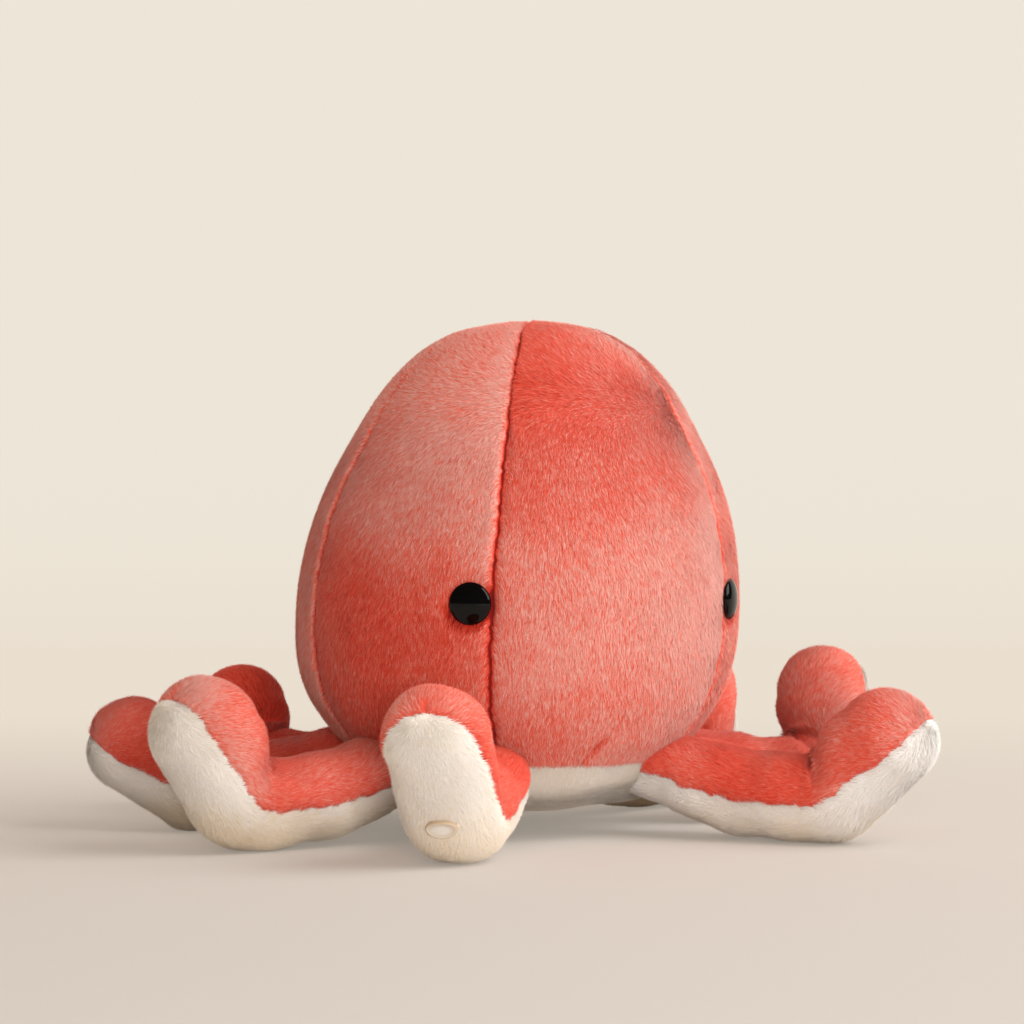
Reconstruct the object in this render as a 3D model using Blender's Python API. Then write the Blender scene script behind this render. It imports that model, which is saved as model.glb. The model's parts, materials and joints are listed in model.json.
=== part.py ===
"""Plush octopus: sewn head panels, cream base, eight stuffed arms with curled tips, two button eyes.

The toy stands on the floor at z = 0 and faces -Y. Arms are numbered round the head, from the one
beside the face on the -X side, through the back, to the one beside the face on the +X side.
"""

import math

import bpy
import numpy as np
from mathutils import Matrix, Vector

# driving sizes, in metres
HEAD_WIDTH = 0.1544
HEAD_HEIGHT = 0.1768
HEAD_LEAN = 0.0112
ARM_LENGTH = 0.1500
ARM_WIDTH = 0.0348
ARM_HEIGHT = 0.0306
BULB_WIDTH = 0.0350
BULB_HEIGHT = 0.0342
EYE_WIDTH = 0.0140

# cloth, clearances and the small fittings
CLOTH = 0.0030
SEAM_GAP = 0.0003
FILL_GAP = 0.0003
ROOT_GAP = 0.0005
ELBOW_GAP = 0.0009
ELBOW_TUCK = 0.0009
FLOOR_CUT = 0.0005
POLE_RADIUS = 0.0009
EYE_DOME = 0.0030
EYE_RIM = 0.0006
EYE_SINK = 0.0020
EYE_CLEAR = 0.0003
SHANK_WIDTH = 0.0034
SHANK_LENGTH = 0.0082
WASHER_WIDTH = 0.0130
WASHER_THICK = 0.0016
PATCH_LENGTH = 0.0104
PATCH_WIDTH = 0.0062
PATCH_THICK = 0.0006

# for printed sizes
UNIT_MM = 0.001

# angles, in degrees
EYE_TURN = 42.0
DROOP = 5.0
FRONT_SEAM_TURN = 36.5
SIDE_SEAM_TURN = 95.0
SIDE_SEAM_ROUND = 82.0
TIP_SEAM_ROUND = 66.0

# half of a size, the bend of an arm between its hinge and its elbow, and the floor's side
HALF = 0.5
BEND_SHARE = 1.5
FLOOR_SHARE = 4.0

# counts
SECTOR_COUNT = 24
FILL_STEP_COUNT = 2
UPPER_COUNT = 5
UNDER_COUNT = 4
CAP_COUNT = 3
BLEND_COUNT = 1
TIP_COUNT = 2
CUT_COUNT = 14
CUT_CAP_COUNT = 4
ROUND_COUNT = 16
SAMPLE_COUNT = 4

# head outline: height as a share of HEAD_HEIGHT, radius as a share of half HEAD_WIDTH
HEAD_SHARES = (
    (0.1440, 0.7319),
    (0.2080, 0.8500),
    (0.2700, 0.9370),
    (0.3400, 0.9850),
    (0.4200, 1.0000),
    (0.5070, 0.9890),
    (0.6000, 0.9480),
    (0.6900, 0.8740),
    (0.7760, 0.7680),
    (0.8550, 0.6330),
    (0.9150, 0.4920),
    (0.9590, 0.3440),
    (0.9880, 0.1750),
    (1.0000, 0.0130),
)
# underside of the base, from its middle out to the seam with the head
BASE_SHARES = (
    (0.0540, 0.0000),
    (0.0552, 0.1900),
    (0.0620, 0.3650),
    (0.0790, 0.5310),
    (0.1080, 0.6480),
)
# the head leans towards the face above the first of these heights
LEAN_SHARES = (0.33, 0.97)

# arm centre line from inside the body outwards: radius as a share of ARM_LENGTH, height and
# half height as shares of ARM_HEIGHT, half width as a share of ARM_WIDTH
ARM_ROOT_SHARES = (
    (0.2330, 0.8300, 0.3300, 0.3900),
    (0.3200, 0.8000, 0.3650, 0.4250),
    (0.3870, 0.7520, 0.4180, 0.4600),
    (0.4400, 0.6860, 0.4670, 0.4830),
    (0.5070, 0.6010, 0.4870, 0.4920),
    (0.5900, 0.5290, 0.5000, 0.4980),
)
# where a sagging root hangs lowest and how far that reaches, as shares of ARM_LENGTH
SAG_SHARES = (0.42, 0.18)
# radius of the lifting hinge and its height, as shares of ARM_LENGTH and ARM_HEIGHT
LIFT_SHARES = (0.4370, 1.1760)

# for each arm: turn from the face as a share of a full turn, then shares of ARM_LENGTH for the
# elbow's radius, the elbow's sideways shift, the bulb's step outwards, sideways and upwards, and
# the sag of the root
ARM_SHARES = (
    (-0.1111, 0.6733, -0.0050, 0.1400, -0.0167, 0.1733, 0.0000),
    (-0.2250, 0.7333, -0.0193, 0.1133, 0.0000, 0.1680, 0.0000),
    (-0.3306, 0.7200, 0.0253, 0.1667, 0.0000, 0.0987, 0.0000),
    (-0.4361, 0.7267, 0.0620, 0.0933, -0.0200, 0.1490, 0.0000),
    (0.4444, 0.7400, -0.0500, 0.1267, 0.0000, 0.1600, 0.0000),
    (0.3250, 0.7467, -0.0327, 0.1133, 0.0400, 0.1733, 0.0300),
    (0.2139, 0.7533, -0.0260, 0.0467, 0.0733, 0.2000, 0.0000),
    (0.1028, 0.7467, -0.0133, 0.1500, 0.0000, 0.1367, 0.0000),
)
# height of the eyes as a share of HEAD_HEIGHT
EYE_AT_SHARE = 0.4580
# the arm that carries the patch, and how far along its tip
PATCH_ARM = 0
PATCH_AT_SHARE = 0.36


def clear_scene():
    for obj in list(bpy.data.objects):
        bpy.data.objects.remove(obj, do_unlink=True)


def make_material(name, colour, rough):
    mat = bpy.data.materials.new(name)
    mat.use_nodes = True
    shader = mat.node_tree.nodes["Principled BSDF"]
    shader.inputs["Base Color"].default_value = (*colour, 1.0)
    shader.inputs["Roughness"].default_value = rough
    return mat


def make_object(name, verts, faces, mat=None):
    mesh = bpy.data.meshes.new(name)
    mesh.from_pydata([tuple(v) for v in verts], [], faces)
    mesh.validate()
    mesh.update()
    obj = bpy.data.objects.new(name, mesh)
    bpy.context.scene.collection.objects.link(obj)
    if mat is not None:
        mesh.materials.append(mat)
    for face in mesh.polygons:
        face.use_smooth = True
    return obj


def grid_solid(name, outer, inner, mat, closed_end=False):
    """A thick sheet: two matching grids of points joined round their edges."""
    rows = len(outer)
    cols = len(outer[0])
    verts = [p for row in outer for p in row] + [p for row in inner for p in row]
    back = rows * cols

    def at(i, j):
        return i * cols + j

    faces = []
    for i in range(rows - 1):
        for j in range(cols - 1):
            a, b, c, d = at(i, j), at(i, j + 1), at(i + 1, j + 1), at(i + 1, j)
            faces.append((a, b, c, d))
            faces.append((back + d, back + c, back + b, back + a))
    edge = [at(0, j) for j in range(cols)]
    edge += [at(i, cols - 1) for i in range(1, rows)]
    edge += [at(rows - 1, j) for j in range(cols - 2, -1, -1)]
    edge += [at(i, 0) for i in range(rows - 2, 0, -1)]
    for k, a in enumerate(edge):
        b = edge[(k + 1) % len(edge)]
        faces.append((b, a, back + a, back + b))
    return face_out(make_object(name, verts, faces, mat))


def ring_solid(name, rings, mat, start=None, end=None):
    """A closed body through rings of points, with a point or a flat fan at each end."""
    count = len(rings[0])
    verts = [p for ring in rings for p in ring]
    faces = []
    for i in range(len(rings) - 1):
        for j in range(count):
            k = (j + 1) % count
            faces.append((i * count + j, i * count + k, (i + 1) * count + k, (i + 1) * count + j))
    for ring, point, flip in ((0, start, True), (len(rings) - 1, end, False)):
        if point is None:
            point = sum((Vector(p) for p in rings[ring]), Vector()) / count
        verts.append(point)
        mid = len(verts) - 1
        for j in range(count):
            k = (j + 1) % count
            tri = (ring * count + j, ring * count + k, mid)
            faces.append(tri[::-1] if flip else tri)
    return face_out(make_object(name, verts, faces, mat))


def face_out(obj):
    """Turns every face outwards."""
    mesh = obj.data
    volume = 0.0
    mesh.calc_loop_triangles()
    for tri in mesh.loop_triangles:
        a, b, c = (mesh.vertices[i].co for i in tri.vertices)
        volume += a.dot(b.cross(c))
    if volume < 0.0:
        mesh.flip_normals()
    return obj


def cut(obj, cutter):
    """Takes the cutter away from the object."""
    mod = obj.modifiers.new("cut", "BOOLEAN")
    mod.operation = "DIFFERENCE"
    mod.solver = "EXACT"
    mod.object = cutter
    graph = bpy.context.evaluated_depsgraph_get()
    graph.update()
    mesh = bpy.data.meshes.new_from_object(obj.evaluated_get(graph))
    obj.modifiers.remove(mod)
    obj.data = mesh
    for face in mesh.polygons:
        face.use_smooth = True
    return obj


def drop(obj):
    bpy.data.objects.remove(obj, do_unlink=True)


def axes_place(x, y, z, spot):
    """The place of a frame from its three axes and its origin."""
    return Matrix.Translation(spot) @ Matrix((x, y, z)).transposed().to_4x4()


def put(obj, holder, place):
    """Puts an object under its holder, at a place in the holder's frame."""
    obj.parent = holder
    obj.location = place.to_translation()
    obj.rotation_euler = place.to_euler()
    return obj


def make_empty(name, holder, place):
    obj = bpy.data.objects.new(name, None)
    obj.empty_display_size = ARM_HEIGHT
    bpy.context.scene.collection.objects.link(obj)
    return put(obj, holder, place)


def hang(obj, holder, place):
    """Puts a piece modelled in the toy's frame under a holder that stands at a place there."""
    obj.data.transform(place.inverted())
    obj.parent = holder


# head and base outline
def outline():
    """Radius and height of the body's outline, from the middle of the base to the crown."""
    shares = BASE_SHARES + HEAD_SHARES
    return [(r * HEAD_WIDTH * HALF, z * HEAD_HEIGHT) for z, r in shares]


def offset_outline(points, inset):
    """The outline moved inwards by a distance, square to itself."""
    out = []
    last = len(points) - 1
    for i, (r, z) in enumerate(points):
        r0, z0 = points[max(i - 1, 0)]
        r1, z1 = points[min(i + 1, last)]
        dr, dz = r1 - r0, z1 - z0
        if i == 0:
            dr, dz = 1.0, 0.0
        if i == last:
            dr, dz = -1.0, 0.0
        size = math.hypot(dr, dz)
        out.append((max(r - inset * dz / size, 0.0), z + inset * dr / size))
    return out


def lean(z):
    low, high = (s * HEAD_HEIGHT for s in LEAN_SHARES)
    return HEAD_LEAN * min(max((z - low) / (high - low), 0.0), 1.0)


def body_point(turn, r, z, at=None):
    """A point on the head: turn in radians from the face, leaning with the height at."""
    shift = lean(z if at is None else at)
    return Vector((r * math.sin(turn), -r * math.cos(turn) - shift, z))


def head_seams():
    """Turn of each head seam from the face, in degrees, once round."""
    turns = (FRONT_SEAM_TURN, SIDE_SEAM_TURN)
    return (
        -turns[0],
        turns[0],
        turns[1],
        180.0,
        360.0 - turns[1],
        360.0 - turns[0],
    )


def gore_turns(first, last):
    """Turns across one panel, in radians, both seams included."""
    count = max(3, round(SECTOR_COUNT * (last - first) / 360.0))
    a, b = math.radians(first), math.radians(last)
    return [a + (b - a) * j / count for j in range(count + 1)]


def body_turns():
    seams = head_seams()
    return [t for a, b in zip(seams[:-1], seams[1:]) for t in gore_turns(a, b)[:-1]]


def body_solid(name, inset, mat=None, step=1):
    """The whole body at an inset, closed, its facets in line with the panels' facets."""
    full = outline()
    moved = offset_outline(full, inset)
    turns = body_turns()
    rings = []
    for i in range(1, len(full) - 1, step):
        r, z = moved[i]
        rings.append([body_point(t, r, z, full[i][1]) for t in turns])
    low = body_point(0.0, 0.0, moved[0][1], full[0][1])
    high = body_point(0.0, 0.0, moved[-1][1], full[-1][1])
    return ring_solid(name, rings, mat, low, high)


def gore(name, first, last, mat):
    """One head panel between two seams, given in degrees from the face."""
    full = outline()
    moved = offset_outline(full, CLOTH)
    start = len(BASE_SHARES)
    turns = gore_turns(first, last)
    outer, inner = [], []
    for i in range(start, len(full)):
        rows = []
        for (r, z), at in ((full[i], full[i][1]), (moved[i], full[i][1])):
            r = max(r, POLE_RADIUS)
            if i == start:
                z += SEAM_GAP * HALF
            edge = SEAM_GAP * HALF / r
            held = [turns[0] + edge] + turns[1:-1] + [turns[-1] - edge]
            rows.append([body_point(t, r, z, at) for t in held])
        outer.append(rows[0])
        inner.append(rows[1])
    return grid_solid(name, outer, inner, mat)


def base_panel(name, mat):
    full = outline()
    moved = offset_outline(full, CLOTH)
    end = len(BASE_SHARES)
    turns = body_turns()
    rings = []
    for i in range(1, end + 1):
        r, z = full[i]
        if i == end:
            z -= SEAM_GAP * HALF
        rings.append([body_point(t, r, z) for t in turns])
    for i in range(end, 0, -1):
        r, z = moved[i]
        if i == end:
            z -= SEAM_GAP * HALF
        rings.append([body_point(t, r, z) for t in turns])
    low = body_point(0.0, 0.0, full[0][1])
    high = body_point(0.0, 0.0, moved[0][1])
    return ring_solid(name, rings, mat, low, high)


# arms
def blend_points(points, count):
    """A smooth line through points, with count steps between neighbours."""
    points = [np.array(p, float) for p in points]
    first = points[0] + points[0] - points[1]
    last = points[-1] + points[-1] - points[-2]
    points = [first] + points + [last]
    out = []
    for i in range(1, len(points) - 2):
        p0, p1, p2, p3 = points[i - 1 : i + 3]
        for k in range(count):
            t = k / count
            a = p1 + p1
            b = (p2 - p0) * t
            c = (p0 + p0 - 5 * p1 + 4 * p2 - p3) * t * t
            d = (3 * p1 - p0 - 3 * p2 + p3) * t * t * t
            out.append((a + b + c + d) * HALF)
    out.append(points[-2])
    return out


class Arm:
    """One arm's centre lines, in the toy's frame."""

    def __init__(self, shares):
        turn, elbow, side, out, across, up, sag = shares
        self.turn = turn * math.tau
        self.out = Vector((math.sin(self.turn), -math.cos(self.turn), 0.0))
        self.side = Vector((math.cos(self.turn), math.sin(self.turn), 0.0))
        self.up = Vector((0.0, 0.0, 1.0))
        elbow_r = elbow * ARM_LENGTH
        elbow_side = side * ARM_LENGTH
        elbow_z = ARM_HEIGHT * HALF - FLOOR_CUT
        rows = []
        for r, z, h, w in ARM_ROOT_SHARES:
            r *= ARM_LENGTH
            near, span = (s * ARM_LENGTH for s in SAG_SHARES)
            sink = sag * ARM_LENGTH * max(0.0, 1.0 - abs(r - near) / span) * HALF
            height = h * ARM_HEIGHT + sink
            rows.append((r, z * ARM_HEIGHT - FLOOR_CUT - sink, w * ARM_WIDTH, height))
        rows.append((elbow_r, elbow_z, ARM_WIDTH * HALF, ARM_HEIGHT * HALF))
        hinge_r = LIFT_SHARES[0] * ARM_LENGTH
        self.rows = []
        for r, z, w, h in blend_points(rows, BLEND_COUNT):
            share = max(0.0, (r - hinge_r) / (elbow_r - hinge_r))
            centre = self.out * r + self.side * (elbow_side * share**BEND_SHARE) + self.up * z
            self.rows.append((centre, w, h))
        self.elbow = self.rows[-1][0]
        along = self.rows[-1][0] - self.rows[-2][0]
        along.z = 0.0
        self.end = along.normalized()
        self.end_side = self.up.cross(self.end).normalized()
        self.lift = self.out * hinge_r + self.up * (LIFT_SHARES[1] * ARM_HEIGHT)
        step = self.out * (out * ARM_LENGTH) + self.side * (across * ARM_LENGTH)
        self.bulb = self.elbow + step + self.up * (up * ARM_LENGTH)
        self.tip_along = (self.bulb - self.elbow).normalized()
        side = self.side - self.tip_along * self.side.dot(self.tip_along)
        self.tip_side = side.normalized()
        self.tip_up = self.tip_along.cross(self.tip_side) * -1.0
        if self.tip_up.dot(self.out) > 0.0:
            self.tip_up.negate()

    def arm_stations(self, inset, caps=CAP_COUNT):
        """Centre, side, up, half width and half height along the arm, ending round the elbow."""
        out = []
        last = len(self.rows) - 1
        for i, (centre, w, h) in enumerate(self.rows):
            before = self.rows[max(i - 1, 0)][0]
            after = self.rows[min(i + 1, last)][0]
            along = (after - before).normalized() if i < last else self.end
            side = self.up.cross(along).normalized()
            up = along.cross(side)
            out.append((centre, side, up, w - inset, h - inset))
        w = ARM_WIDTH * HALF - inset
        h = ARM_HEIGHT * HALF - inset
        out += self.cap(self.elbow, self.end, self.end_side, self.up, w, h, caps)
        return out

    def tip_stations(self, inset):
        out = []
        for k in range(TIP_COUNT + 1):
            t = k / TIP_COUNT
            centre = self.elbow.lerp(self.bulb, t)
            tuck = ELBOW_TUCK if k == 0 else 0.0
            w = (ARM_WIDTH + (BULB_WIDTH - ARM_WIDTH) * t) * HALF - inset - tuck
            h = (ARM_HEIGHT + (BULB_HEIGHT - ARM_HEIGHT) * t) * HALF - inset - tuck
            out.append((centre, self.tip_side, self.tip_up, w, h))
        w = BULB_WIDTH * HALF - inset
        h = BULB_HEIGHT * HALF - inset
        out += self.cap(self.bulb, self.tip_along, self.tip_side, self.tip_up, w, h, CAP_COUNT)
        return out

    def cap(self, centre, along, side, up, w, h, count):
        """Rings of the rounded end, down to a small one at the pole."""
        out = []
        least = math.asin(POLE_RADIUS / w)
        for k in range(1, count + 1):
            angle = (math.pi * HALF - least) * k / count
            shrink = math.cos(angle)
            out.append((centre + along * (h * math.sin(angle)), side, up, w * shrink, h * shrink))
        return out


def round_point(station, angle):
    """A point of a station's ring, its angle measured from the bottom."""
    centre, side, up, w, h = station
    return centre + side * (w * math.sin(angle)) - up * (h * math.cos(angle))


def seam_angle(k, count, start, end):
    return math.radians(start + (end - start) * min(k / count, 1.0))


def limb_panel(name, outer_st, inner_st, seams, upper, mat):
    """The upper or under cloth of an arm or a tip, between its two side seams."""
    count = UPPER_COUNT if upper else UNDER_COUNT
    start, end = seams
    grids = ([], [])
    steps = len(outer_st) - 1
    for grid, stations in zip(grids, (outer_st, inner_st)):
        for k, station in enumerate(stations):
            seam = seam_angle(k, steps, start, end)
            gap = SEAM_GAP * HALF / max(station[3], POLE_RADIUS)
            if upper:
                low, high = seam + gap, math.tau - seam - gap
            else:
                low, high = -seam + gap, seam - gap
            angles = [low + (high - low) * j / count for j in range(count + 1)]
            grid.append([round_point(station, a) for a in angles])
    return grid_solid(name, grids[0], grids[1], mat)


def limb_filling(name, stations, seams, mat):
    """The filling of an arm or a tip, its facets in line with the cloth's facets."""
    steps = len(stations) - 1
    rings = []
    for k, station in enumerate(stations):
        seam = seam_angle(k, steps, *seams)
        under = [-seam + 2 * seam * j / UNDER_COUNT for j in range(UNDER_COUNT)]
        over = math.tau - 2 * seam
        upper = [seam + over * j / UPPER_COUNT for j in range(UPPER_COUNT)]
        rings.append([round_point(station, a) for a in under + upper])
    return ring_solid(name, rings, mat)


def limb_solid(name, stations, count):
    """A plain closed limb, for cutting."""
    angles = [math.tau * j / count for j in range(count)]
    rings = [[round_point(s, a) for a in angles] for s in stations]
    return ring_solid(name, rings, None)


def floor_block():
    """A block whose top is the floor."""
    size = ARM_LENGTH * FLOOR_SHARE
    obj = box("floor_block", size, size, ARM_HEIGHT)
    obj.data.transform(Matrix.Translation((0.0, 0.0, -ARM_HEIGHT * HALF)))
    return obj


def box(name, x, y, z):
    verts = []
    for sx in (-HALF, HALF):
        for sy in (-HALF, HALF):
            for sz in (-HALF, HALF):
                verts.append((sx * x, sy * y, sz * z))
    faces = [
        (0, 1, 3, 2),
        (4, 6, 7, 5),
        (0, 4, 5, 1),
        (2, 3, 7, 6),
        (0, 2, 6, 4),
        (1, 5, 7, 3),
    ]
    return face_out(make_object(name, verts, faces))


# eyes
def turned(name, profile, place, mat=None):
    """A body turned round its own Z from (radius, height) pairs that start and end on the axis."""
    turns = [math.tau * j / ROUND_COUNT for j in range(ROUND_COUNT)]
    rings = [[(r * math.cos(t), r * math.sin(t), z) for t in turns] for r, z in profile[1:-1]]
    low = (0.0, 0.0, profile[0][1])
    high = (0.0, 0.0, profile[-1][1])
    obj = ring_solid(name, rings, mat, low, high)
    obj.data.transform(place)
    return obj


def eye_place(side):
    """Where an eye sits, its Z straight out of the head."""
    turn = math.radians(EYE_TURN) * side
    out = Vector((math.sin(turn), -math.cos(turn), 0.0))
    points = outline()
    z = EYE_AT_SHARE * HEAD_HEIGHT
    r = np.interp(z, [p[1] for p in points], [p[0] for p in points])
    spot = out * (float(r) - EYE_SINK) + Vector((0.0, -lean(z), z))
    up = Vector((0.0, 0.0, 1.0))
    return axes_place(up.cross(out), up, out, spot)


def eye_profile():
    r = EYE_WIDTH * HALF
    shank = SHANK_WIDTH * HALF
    rows = [(0.0, -SHANK_LENGTH), (shank, -SHANK_LENGTH), (shank, EYE_CLEAR)]
    rows += [(r - EYE_RIM, EYE_CLEAR), (r, EYE_CLEAR + EYE_RIM)]
    for k in range(1, SAMPLE_COUNT):
        a = math.pi * HALF * k / SAMPLE_COUNT
        rows.append((r * math.cos(a), EYE_CLEAR + EYE_RIM + (EYE_DOME - EYE_RIM) * math.sin(a)))
    rows.append((0.0, EYE_CLEAR + EYE_DOME))
    return rows


def washer(name, place, mat):
    outer = WASHER_WIDTH * HALF
    inner = SHANK_WIDTH * HALF + FILL_GAP
    facet = HEAD_WIDTH * HALF * (1.0 - math.cos(math.pi / SECTOR_COUNT))
    top = -(CLOTH - EYE_SINK) - facet - FILL_GAP
    low = top - WASHER_THICK
    turns = [math.tau * j / ROUND_COUNT for j in range(ROUND_COUNT)]
    corners = ((outer, low), (outer, top), (inner, top), (inner, low))
    verts = [(r * math.cos(t), r * math.sin(t), z) for r, z in corners for t in turns]
    faces = []
    n = ROUND_COUNT
    for i in range(4):
        for j in range(n):
            k = (j + 1) % n
            m = (i + 1) % 4
            faces.append((i * n + j, i * n + k, m * n + k, m * n + j))
    obj = face_out(make_object(name, verts, faces, mat))
    obj.data.transform(place)
    return obj


def patch_piece(name, arm, mat):
    """The small bare oval patch on the cream face of an arm's tip."""
    half_l = PATCH_LENGTH * HALF
    half_w = PATCH_WIDTH * HALF
    centre = arm.elbow.lerp(arm.bulb, PATCH_AT_SHARE)
    w = (ARM_WIDTH + (BULB_WIDTH - ARM_WIDTH) * PATCH_AT_SHARE) * HALF
    h = (ARM_HEIGHT + (BULB_HEIGHT - ARM_HEIGHT) * PATCH_AT_SHARE) * HALF
    flare = (BULB_HEIGHT - ARM_HEIGHT) * HALF / (arm.bulb - arm.elbow).length

    def spot(x, y, lift):
        s = math.sqrt(1.0 - (x / w) ** 2)
        out = h * s + flare * y + lift
        return centre + arm.tip_side * x + arm.tip_along * y - arm.tip_up * out

    rings = []
    count = ROUND_COUNT // 2 + ROUND_COUNT // 4
    low = SEAM_GAP
    high = SEAM_GAP + PATCH_THICK
    for share, lift in ((HALF, low), (1.0, low), (1.0, high), (HALF, high)):
        ring = []
        for j in range(count):
            a = math.tau * j / count
            ring.append(spot(share * half_l * math.cos(a), share * half_w * math.sin(a), lift))
        rings.append(ring)
    return ring_solid(name, rings, mat, spot(0.0, 0.0, low), spot(0.0, 0.0, high))


def overlap_guard(arm):
    """The body with a gap round it, turned as far as the arm can droop on its hinge."""
    body = body_solid("body_cut", -ROOT_GAP)
    swing = Matrix.Rotation(math.radians(DROOP), 4, arm.side * -1.0)
    about = Matrix.Translation(arm.lift) @ swing @ Matrix.Translation(arm.lift * -1.0)
    body.data.transform(about)
    return body


def fit_eye(side, label, panels, stuffing, black, pale):
    """One eye with its washer, and the room for them in the cloth and the filling."""
    place = eye_place(side)
    eye = turned("eye_" + label, eye_profile(), place, black)
    ring = washer("eye_washer_" + label, place, pale)
    hole = SHANK_WIDTH * HALF + EYE_CLEAR
    seat = EYE_WIDTH * HALF + EYE_CLEAR
    deep = SHANK_LENGTH + EYE_CLEAR
    high = EYE_DOME + EYE_SINK
    room = [(0.0, -deep), (hole, -deep), (hole, 0.0), (seat, 0.0), (seat, high), (0.0, high)]
    seat_cut = turned("seat_cut", room, place)
    for panel in panels:
        cut(panel, seat_cut)
    wide = WASHER_WIDTH * HALF + FILL_GAP
    low = -deep - FILL_GAP
    pocket = [(0.0, low), (wide, low), (wide, high), (0.0, high)]
    pocket_cut = turned("pocket_cut", pocket, place)
    cut(stuffing, pocket_cut)
    drop(seat_cut)
    drop(pocket_cut)
    return place, [eye, ring]


def arm_pieces(arm, number, floor, cloths):
    """The cloths and the filling of an arm from the body to its elbow."""
    coral, cream, fill = cloths
    outer = arm.arm_stations(0.0)
    inner = arm.arm_stations(CLOTH)
    core = arm.arm_stations(CLOTH + FILL_GAP)
    seams = (SIDE_SEAM_ROUND, SIDE_SEAM_ROUND)
    upper = limb_panel("arm" + number + "_upper", outer, inner, seams, True, coral)
    under = limb_panel("arm" + number + "_under", outer, inner, seams, False, cream)
    stuffing = limb_filling("arm" + number + "_filling", core, seams, fill)
    body = overlap_guard(arm)
    for obj in (upper, under, stuffing):
        cut(obj, body)
    cut(under, floor)
    drop(body)
    return [upper, under, stuffing]


def tip_pieces(arm, number, cloths):
    """The cloths and the filling of a tip, hollowed where it meets the elbow."""
    coral, cream, fill = cloths
    outer = arm.tip_stations(0.0)
    inner = arm.tip_stations(CLOTH)
    core = arm.tip_stations(CLOTH + FILL_GAP)
    seams = (SIDE_SEAM_ROUND, TIP_SEAM_ROUND)
    upper = limb_panel("tip" + number + "_upper", outer, inner, seams, True, coral)
    under = limb_panel("tip" + number + "_under", outer, inner, seams, False, cream)
    stuffing = limb_filling("tip" + number + "_filling", core, seams, fill)
    stations = arm.arm_stations(-ELBOW_GAP, CUT_CAP_COUNT)
    elbow_cut = limb_solid("elbow_cut", stations, CUT_COUNT)
    for obj in (upper, under, stuffing):
        cut(obj, elbow_cut)
    drop(elbow_cut)
    return [upper, under, stuffing]


def floor_middle(pieces):
    """The step from the head's axis to the middle of the floor area that the toy covers."""
    points = np.array([v.co[:] for obj in pieces for v in obj.data.vertices])
    low, high = points.min(axis=0), points.max(axis=0)
    print("size in mm", [round(float(s) / UNIT_MM, 1) for s in high - low])
    middle = (low + high) * HALF
    return Vector((-middle[0], -middle[1], 0.0))


def build():
    clear_scene()
    coral = make_material("coral_plush", (0.80, 0.13, 0.09), 0.9)
    cream = make_material("cream_plush", (0.86, 0.78, 0.66), 0.9)
    fill = make_material("filling", (0.90, 0.90, 0.88), 1.0)
    black = make_material("eye_black", (0.01, 0.01, 0.01), 0.08)
    pale = make_material("eye_washer", (0.85, 0.85, 0.82), 0.5)
    white = make_material("patch_white", (0.90, 0.89, 0.86), 0.6)
    cloths = (coral, cream, fill)

    # head panels, base, filling and eyes
    seams = head_seams()
    names = ("head_front", "head_side_px", "head_back_px", "head_back_nx", "head_side_nx")
    gores = {n: gore(n, a, b, coral) for n, a, b in zip(names, seams[:-1], seams[1:])}
    base = base_panel("base_panel", cream)
    stuffing = body_solid("head_filling", CLOTH + FILL_GAP, fill, FILL_STEP_COUNT)
    eyes = []
    for side, label in ((1, "px"), (-1, "nx")):
        panels = (gores["head_side_" + label], gores["head_front"])
        eyes.append(fit_eye(side, label, panels, stuffing, black, pale))
    head = list(gores.values()) + [base, stuffing]

    # arms and tips
    arms = [Arm(shares) for shares in ARM_SHARES]
    floor = floor_block()
    limbs = []
    for i, arm in enumerate(arms):
        number = str(i + 1)
        root = arm_pieces(arm, number, floor, cloths)
        tip = tip_pieces(arm, number, cloths)
        if i == PATCH_ARM:
            tip.append(patch_piece("tip_patch", arm, white))
        limbs.append((arm, number, root, tip))
    drop(floor)

    # the toy's own empty carries everything, and puts the frame's origin under its middle
    made = head + [p for eye in eyes for p in eye[1]]
    made += [p for limb in limbs for p in limb[2] + limb[3]]
    toy = make_empty("toy", None, Matrix.Translation(floor_middle(made)))
    for obj in head:
        hang(obj, toy, Matrix.Identity(4))
    for place, pieces in eyes:
        for obj in pieces:
            hang(obj, toy, place)
            put(obj, toy, place)

    # each arm turns about the X axis of its lift empty, and each tip about its curl empty's
    for arm, number, root, tip in limbs:
        lift = axes_place(arm.side * -1.0, arm.out, arm.up, arm.lift)
        curl = axes_place(arm.end_side * -1.0, arm.end, arm.up, arm.elbow)
        lift_empty = make_empty("lift" + number, toy, lift)
        curl_empty = make_empty("curl" + number, lift_empty, lift.inverted() @ curl)
        for obj in root:
            hang(obj, lift_empty, lift)
        for obj in tip:
            hang(obj, curl_empty, curl)


build()
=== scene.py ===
# %% [markdown]
# # A plush octopus
# This lesson dresses a imported model of a stuffed octopus. The imported model is the frame: plain
# solids with hinges, at their real size. Every cell below adds a sewn and furred piece in the
# same place, so that the toy looks like plush; the head pieces, the eyes and the patch ride on the frame's
# bodies.

# %% Load the frame
import json
import math

import bmesh
import bpy
import numpy as np
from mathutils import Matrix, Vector, noise

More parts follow.
